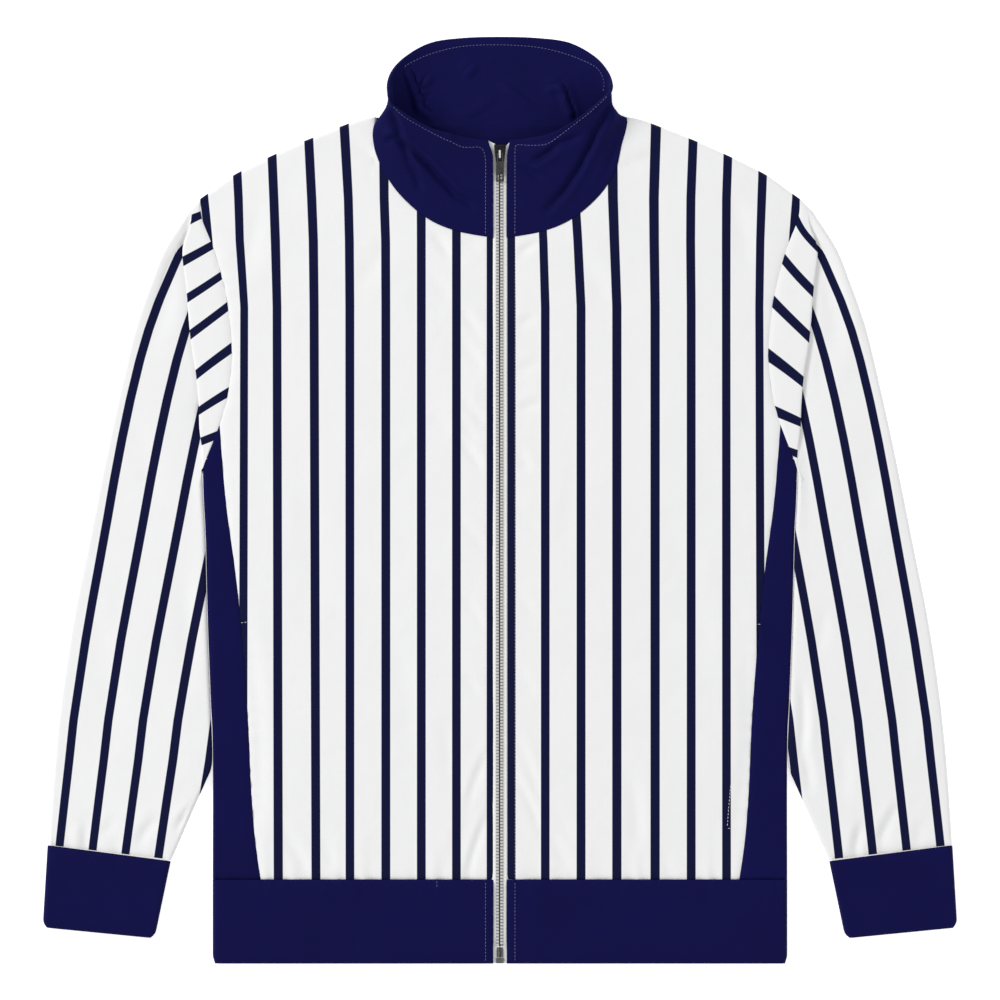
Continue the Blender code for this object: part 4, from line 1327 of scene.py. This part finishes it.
for side, slant in ((1, 1.0), (-1, 0.5)):

    def half_tape(u, v, slant=slant):
        return tape(u, v, slant)

    cloth("zip_tape_cloth", "zip_tape", (14, 220), half_tape, 0.8, tape_weave, side)
print(f"tape {area_of(made_cloth['zip_tape_left']):.4f} square metres")

# %% The teeth
TOOTH_PITCH = 2.62  # on each tape, so the closed chain has one each 1.31 mm
TEETH_MIDDLE = -0.35


def block(bm, low, high, round_off, segments=1):
    """Adds a box with rounded edges between two corners, in mm, and returns its points."""
    made = bmesh.ops.create_cube(bm, size=1.0)["verts"]
    low, high = Vector(low), Vector(high)
    for vert in made:
        vert.co = Vector(mix(a, b, c + 0.5) for a, b, c in zip(low, high, vert.co)) * MM
    edges = {edge for vert in made for edge in vert.link_edges}
    options = {"segments": segments, "profile": 0.5, "affect": "EDGES", "material": -1}
    rounded = bmesh.ops.bevel(bm, geom=list(edges), offset=round_off * MM, **options)
    return list({*rounded["verts"], *(vert for vert in made if vert.is_valid)})


def place_points(bm, points, at, tilt=0.0, spin=0.0):
    """Turns points about X and Z through the origin and moves them to a place in mm."""
    middle = Vector((0.0, 0.0, 0.0))
    bmesh.ops.rotate(bm, verts=points, cent=middle, matrix=Euler((0.0, 0.0, spin)).to_matrix())
    bmesh.ops.rotate(bm, verts=points, cent=middle, matrix=Euler((tilt, 0.0, 0.0)).to_matrix())
    bmesh.ops.translate(bm, verts=points, vec=Vector(at) * MM)


def finish_piece(name, bm, finish, body, stands_for):
    """Turns a bmesh into a piece that rides on a body."""
    mesh = mesh_of(name, bm, finish)
    mesh.set_sharp_from_angle(angle=math.radians(35))
    made = add_object(name, mesh)
    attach(made, body)
    if stands_for:
        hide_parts(stands_for)
    return made


def zip_slope(up):
    return math.atan2(zip_height(up + 1.0) - zip_height(up - 1.0), 2.0)


bm = bmesh.new()
tooth_up, count = CHAIN_FOOT, 0
while tooth_up < CHAIN_HEAD:
    side = 1 if count % 2 else -1
    head = block(bm, (0.6, -1.1, -0.7), (1.6, 1.1, 0.8), 0.32)
    heel = block(bm, (1.35, -0.72, -0.9), (2.95, 0.72, 0.95), 0.28)
    place_points(
        bm,
        head + heel,
        (TEETH_MIDDLE, tooth_up, zip_height(tooth_up) + zip_rise(tooth_up) + 0.6),
        tilt=zip_slope(tooth_up),
        spin=0.0 if side > 0 else math.pi,
    )
    tooth_up += TOOTH_PITCH / 2.0
    count += 1
teeth = finish_piece("zip_teeth", bm, pale_alloy_and_highlight, "jacket", "zip_chain")
print(count, "teeth,", len(teeth.data.polygons), "faces")

# %% The cord that the teeth are clamped round, painted dark as the shade between them
bm = bmesh.new()
bmesh.ops.create_grid(bm, x_segments=6, y_segments=240, size=0.5)
for vert in bm.verts:
    across, up = vert.co.x * 6.0, mix(CHAIN_FOOT - 1.0, CHAIN_HEAD + 0.1, vert.co.y + 0.5)
    vert.co = Vector((TEETH_MIDDLE + across, up, zip_height(up) + zip_rise(up) + 0.75)) * MM
cord = finish_piece("cord_painted_shade", bm, cord_painted_shade, "jacket", None)
# Faces beyond the teeth's heads take the grey painted shade of the gaps between the heels.
cord.data.materials.append(cord_side_painted_shade)
for face in cord.data.polygons:
    if abs(face.center.x / MM - TEETH_MIDDLE) > 1.2:
        face.material_index = 1
cord_wall = cord.modifiers.new("Thickness", "SOLIDIFY")
cord_wall.thickness = 0.5 * MM
print("cord faces:", len(cord.data.polygons))

# %% [markdown]
# ## Slider, pull tab and the zip's end
#
# The slider is two plates round the tape, joined by a post, with a bridge that holds the pull.
# It is cast, so every edge is rounded. The pull is a flat tab with a grooved grip and a square
# eye, on two arms round the bridge.

# %% The slider
PIVOT_UP = 286.4
PLATE_IN, PLATE_OUT = 1.65, 2.75  # heights of a plate's faces from the tape
TAPE_BELOW = -(PLATE_OUT + 1.5)  # the tape's middle, seen from the pivot
PIVOT = (0.0, PIVOT_UP, zip_height(PIVOT_UP) + PLATE_OUT + 1.5)
SLIDER_TILT = math.atan2(CLIMB, CLIMB_HEAD - CLIMB_FOOT)


def narrowing(up):
    """The plates narrow towards the closed chain."""
    return mix(1.0, 0.62, min(1.0, max(0.0, (4.0 - up / MM) / 12.0)))


bm = bmesh.new()
points = []
for low, high in ((PLATE_IN, PLATE_OUT), (-PLATE_OUT, -PLATE_IN)):
    plate = block(bm, (-5.1, -8.0, TAPE_BELOW + low), (5.1, 8.0, TAPE_BELOW + high), 0.5, 3)
    for vert in plate:
        vert.co.x *= narrowing(vert.co.y)
    points += plate
for side in (1, -1):
    # Flanges that press the teeth together.
    rail = (side * 3.9, -7.4, TAPE_BELOW + 0.95), (side * 4.7, 2.0, TAPE_BELOW + 1.9)
    low = [min(pair) for pair in zip(*rail)]
    high = [max(pair) for pair in zip(*rail)]
    rail_points = block(bm, low, high, 0.25, 2)
    for vert in rail_points:
        vert.co.x *= narrowing(vert.co.y)
    points += rail_points
points += block(bm, (-1.3, 3.4, TAPE_BELOW - 2.0), (1.3, 7.4, TAPE_BELOW + 2.0), 0.5, 2)
# The bridge: two feet and the bar that the pull turns on.
BRIDGE = ((-3.4, -2.0), (-2.3, 1.4)), ((2.3, -2.0), (3.4, 1.4)), ((-3.2, 0.85), (3.2, 1.75))
for low, high in BRIDGE:
    points += block(bm, (-0.95, *low), (0.95, *high), 0.35, 2)
place_points(bm, list(set(points)), PIVOT, tilt=SLIDER_TILT)
slider = finish_piece("slider", bm, black_alloy, "jacket", "zip_slider")
# The left top of the bridge is pale alloy: a painted highlight on the side that the key lamp
# lights.
slider.data.materials.append(pale_alloy_and_highlight)
for face in slider.data.polygons:
    spot = face.center / MM - Vector(PIVOT)
    if spot.z > 1.2 and spot.x < 0.2 and abs(spot.y) < 3.4:
        face.material_index = 1  # the left top of the bridge: pale alloy as a painted highlight
print("slider faces:", len(slider.data.polygons))

# %% The pull tab
bm = bmesh.new()
points = []
for side in (1, -1):
    arm = sorted((side * 1.4, side * 2.5))
    cheek = sorted((side * 1.8, side * 3.3))
    points += block(bm, (arm[0], -7.2, -0.5), (arm[1], 1.0, 0.5), 0.25, 2)
    points += block(bm, (cheek[0], -22.8, -0.55), (cheek[1], -16.2, 0.55), 0.25, 2)
points += block(bm, (-1.9, -0.42, -0.42), (1.9, 0.42, 0.42), 0.18, 2)
points += block(bm, (-3.3, -16.8, -0.6), (3.3, -5.9, 0.6), 0.3, 2)
points += block(bm, (-3.3, -22.9, -0.6), (3.3, -21.6, 0.6), 0.3, 2)
for groove in range(5):
    up = -15.4 + 1.9 * groove
    points += block(bm, (-2.5, up - 0.5, 0.4), (2.5, up + 0.5, 1.0), 0.2)
place_points(bm, list(set(points)), PIVOT, tilt=SLIDER_TILT)
pull = finish_piece("pull_tab", bm, gunmetal, "pull_tab", "zip_pull")
print("pull tab faces:", len(pull.data.polygons))

# %% The pin and box at the foot
bm = bmesh.new()
block(bm, (-3.2, -384.1, 2.8), (3.2, -379.7, 5.4), 0.5, 3)
box = finish_piece("zip_box_cast", bm, worn_gunmetal, "jacket", "zip_box")
bm = bmesh.new()
block(bm, (-2.7, -379.3, 3.1), (-0.3, -370.6, 5.2), 0.5, 3)
block(bm, (0.3, -379.3, 3.1), (2.7, -370.6, 5.2), 0.5, 3)
pin = finish_piece("zip_pin_cast", bm, worn_gunmetal, "jacket", "zip_pin")
print("box and pin faces:", len(box.data.polygons) + len(pin.data.polygons))

# %% [markdown]
# ## Stitching
#
# Lockstitch shows as short dashes of thread, each pulled a little into the cloth at its ends.
# Every row is a line seen from above. It is dropped on the finished cloth with rays, so that
# the stitches lie on the creases, and each stitch is a small six-sided bead of thread.

# %% Dropping rows of stitches on the cloth
STITCH_LENGTH, STITCH_GAP = 2.3, 0.55
ABOVE = 0.08  # metres, where the rays start


def top_surface(names):
    """A tree of the finished cloth's faces, to be looked down on."""
    graph = bpy.context.evaluated_depsgraph_get()
    corners, faces = [], []
    for name in names:
        mesh = made_cloth[name].evaluated_get(graph).to_mesh()
        start = len(corners)
        corners += [vert.co.copy() for vert in mesh.vertices]
        faces += [[start + index for index in face.vertices] for face in mesh.polygons]
    return BVHTree.FromPolygons(corners, faces)


def row_of_stitches(bm, tree, stops, thick):
    """Lays stitches along a line of places in mm, each on the cloth below it."""
    line = Line(stops, steps=8)
    done, made = 0.0, 0
    while done + STITCH_LENGTH < line.length:
        ends = []
        for reach in (done, done + STITCH_LENGTH):
            spot = line.at(reach / line.length) * MM
            hit = tree.ray_cast(Vector((spot.x, spot.y, ABOVE)), Vector((0, 0, -1)))
            ends.append(hit[0])
        done += STITCH_LENGTH + STITCH_GAP
        if None in ends or (ends[1] - ends[0]).length > 2.0 * STITCH_LENGTH * MM:
            continue
        run = ends[1] - ends[0]
        bead = bmesh.ops.create_icosphere(bm, subdivisions=1, radius=1.0)["verts"]
        bmesh.ops.scale(bm, verts=bead, vec=(run.length / 2.0, thick * MM, thick * MM))
        turn_to = run.to_track_quat("X", "Z").to_matrix()
        bmesh.ops.rotate(bm, verts=bead, cent=(0, 0, 0), matrix=turn_to)
        bmesh.ops.translate(bm, verts=bead, vec=(ends[0] + ends[1]) / 2.0)
        made += 1
    return made


FRONT_ROW = [(0.0, -314.0), (0.0, -100.0), (0.0, 216.0)]
BAND_ROW = [(0.0, -382.0), (0.0, -350.0), (0.0, -316.0)]
EDGE_ROWS = [
    # Up beside the zip on the collar, round its corner and along its edge, on each side.
    [
        (12.3, 218.0), (12.4, 255.0), (12.4, 284.0), (12.6, 292.2), (14.2, 294.2), (20.7, 293.8),
        (31.0, 293.6), (37.4, 294.2), (43.6, 297.1), (54.0, 304.9), (63.6, 312.0), (74.0, 319.9),
        (83.6, 328.6), (89.4, 334.4),
    ],
    [
        (-12.0, 218.0), (-12.0, 255.0), (-11.9, 278.0), (-12.6, 285.5), (-14.4, 290.2),
        (-18.0, 292.2), (-30.5, 292.0), (-40.6, 296.4), (-47.7, 299.3), (-59.7, 305.4),
        (-69.1, 310.5), (-78.7, 316.2), (-86.0, 322.4), (-89.3, 326.0),
    ],
    # Inside the collar's back edge.
    [
        (85.6, 339.0), (86.2, 346.0), (83.0, 355.0), (76.0, 361.0), (56.0, 369.6), (31.0, 375.6),
        (0.0, 377.6), (-31.0, 376.4), (-56.0, 370.6), (-74.0, 362.6), (-80.6, 357.6),
    ],
]
POCKET_ROWS = [
    [(-215.0, -101.9), (-207.6, -100.8)],
    [(211.0, -103.0), (218.0, -103.0)],
    [(191.2, -236.6), (189.6, -255.0), (188.6, -268.0), (188.6, -271.9)],
    [(188.8, -272.2), (202.8, -272.2)],
]
HEM_MARK = [(-52.3, -315.6), (-52.3, -323.4)]
tree = top_surface(made_cloth)
bm = bmesh.new()
made = 0
for at in (-12.0, 12.4):
    made += row_of_stitches(bm, tree, [(at + x, y) for x, y in BAND_ROW], 0.16)
for stops in (*EDGE_ROWS, HEM_MARK):
    made += row_of_stitches(bm, tree, stops, 0.17)
stitches = finish_piece("pale_topstitching", bm, lilac_thread, "jacket", None)
print(made, "stitches,", len(stitches.data.polygons), "faces")

# %% Stitching on the fronts, in white
bm = bmesh.new()
made = sum(row_of_stitches(bm, tree, stops, 0.2) for stops in POCKET_ROWS)
for at in (-12.6, 12.6):
    made += row_of_stitches(bm, tree, [(at + x, y) for x, y in FRONT_ROW], 0.14)
white_stitches = finish_piece("white_topstitching", bm, white_thread, "jacket", None)
print(made, "white stitches,", len(white_stitches.data.polygons), "faces")

# %% [markdown]
# ## Cloth sizes
#
# Each piece of cloth is listed with the size that it was cut to, and its cut area is printed
# beside the area that it takes as laid. The back and the fronts are not rectangles, so their own
# area is given too.

# %% Flat sizes
CUTS = {
    "front": (0.245, 0.640, 0.136),
    "back": (0.495, 0.640, 0.285),
    "side_panel": (0.085, 0.375, 0.0225),
    "sleeve": (0.390, 0.575, 0.118),
    "cuff": (0.205, 0.070, 0.0140),
    "hem_band": (0.960, 0.072, 0.0680),
    "collar": (0.520, 0.090, 0.0390),
    "neck_facing": (0.170, 0.025, 0.0033),
    "zip_tape": (0.014, 0.682, 0.0090),
}
for solid, (width, length, area) in CUTS.items():
    for name in (solid, solid + "_left", solid + "_right"):
        if name in made_cloth:
            piece = made_cloth[name]
            print(f"{name}: cut {area:.4f}, laid {area_of(piece):.4f} square metres")

# %% Pocket bags, which lie hidden inside
for hand in ("left", "right"):
    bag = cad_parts[f"pocket_bag_{hand}"]
    bag.data.materials.clear()
    bag.data.materials.append(bag_knit)

# %% [markdown]
# ## Surface, light and camera
#
# The jacket lies on a plain pale surface under soft studio light: an even white surround, one
# wide lamp from the upper left that draws the creases, and a weaker one opposite. The camera
# looks straight down through a long lens, so that the jacket's own proportions are kept.

# %% The surface
bm = bmesh.new()
bmesh.ops.create_grid(bm, x_segments=1, y_segments=1, size=3.0)
opal_sheet, tree, shader = start_material("opal sheet lit from below", 0.9)
shader.inputs["Base Color"].default_value = linear("FBFBFB")
shader.inputs["Emission Color"].default_value = linear("FFFFFF")
shader.inputs["Emission Strength"].default_value = 0.6
add_object("floor", mesh_of("floor", bm, opal_sheet))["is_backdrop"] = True

# %% Light
world = bpy.data.worlds.new("studio")
world.use_nodes = True
bpy.context.scene.world = world
surround = world.node_tree.nodes["Background"]
surround.inputs["Color"].default_value = linear("FFFFFF")
surround.inputs["Strength"].default_value = 0.60


def lamp(name, place, size, watts):
    """A wide square lamp aimed at the middle of the jacket."""
    light = bpy.data.lights.new(name, "AREA")
    light.shape = "SQUARE"
    light.size = size
    light.energy = watts
    made = add_object(name, light)
    made.location = place
    made.rotation_euler = (-Vector(place)).to_track_quat("-Z", "Y").to_euler()


lamp("key", (-5.0, 2.0, 3.1), 2.2, 244.0)
lamp("fill", (4.6, -1.6, 3.6), 2.4, 66.0)

# %% The camera
FRAME_WIDTH, LENS = 0.83, 200.0  # metres across the picture at the surface, and mm
camera_data = bpy.data.cameras.new("camera")
camera_data.lens = LENS
camera = add_object("camera", camera_data)
camera.location = (0.0, 0.0, FRAME_WIDTH * LENS / camera_data.sensor_width)
camera_data.clip_end = 50.0
bpy.context.scene.camera = camera
bpy.context.scene.view_settings.view_transform = "Standard"
print(f"camera {camera.location.z:.2f} m above the surface")

# %% The visual box, measured
low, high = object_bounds()
print("visual box", [round((b - a) * 1000.0, 1) for a, b in zip(low, high)], "mm")
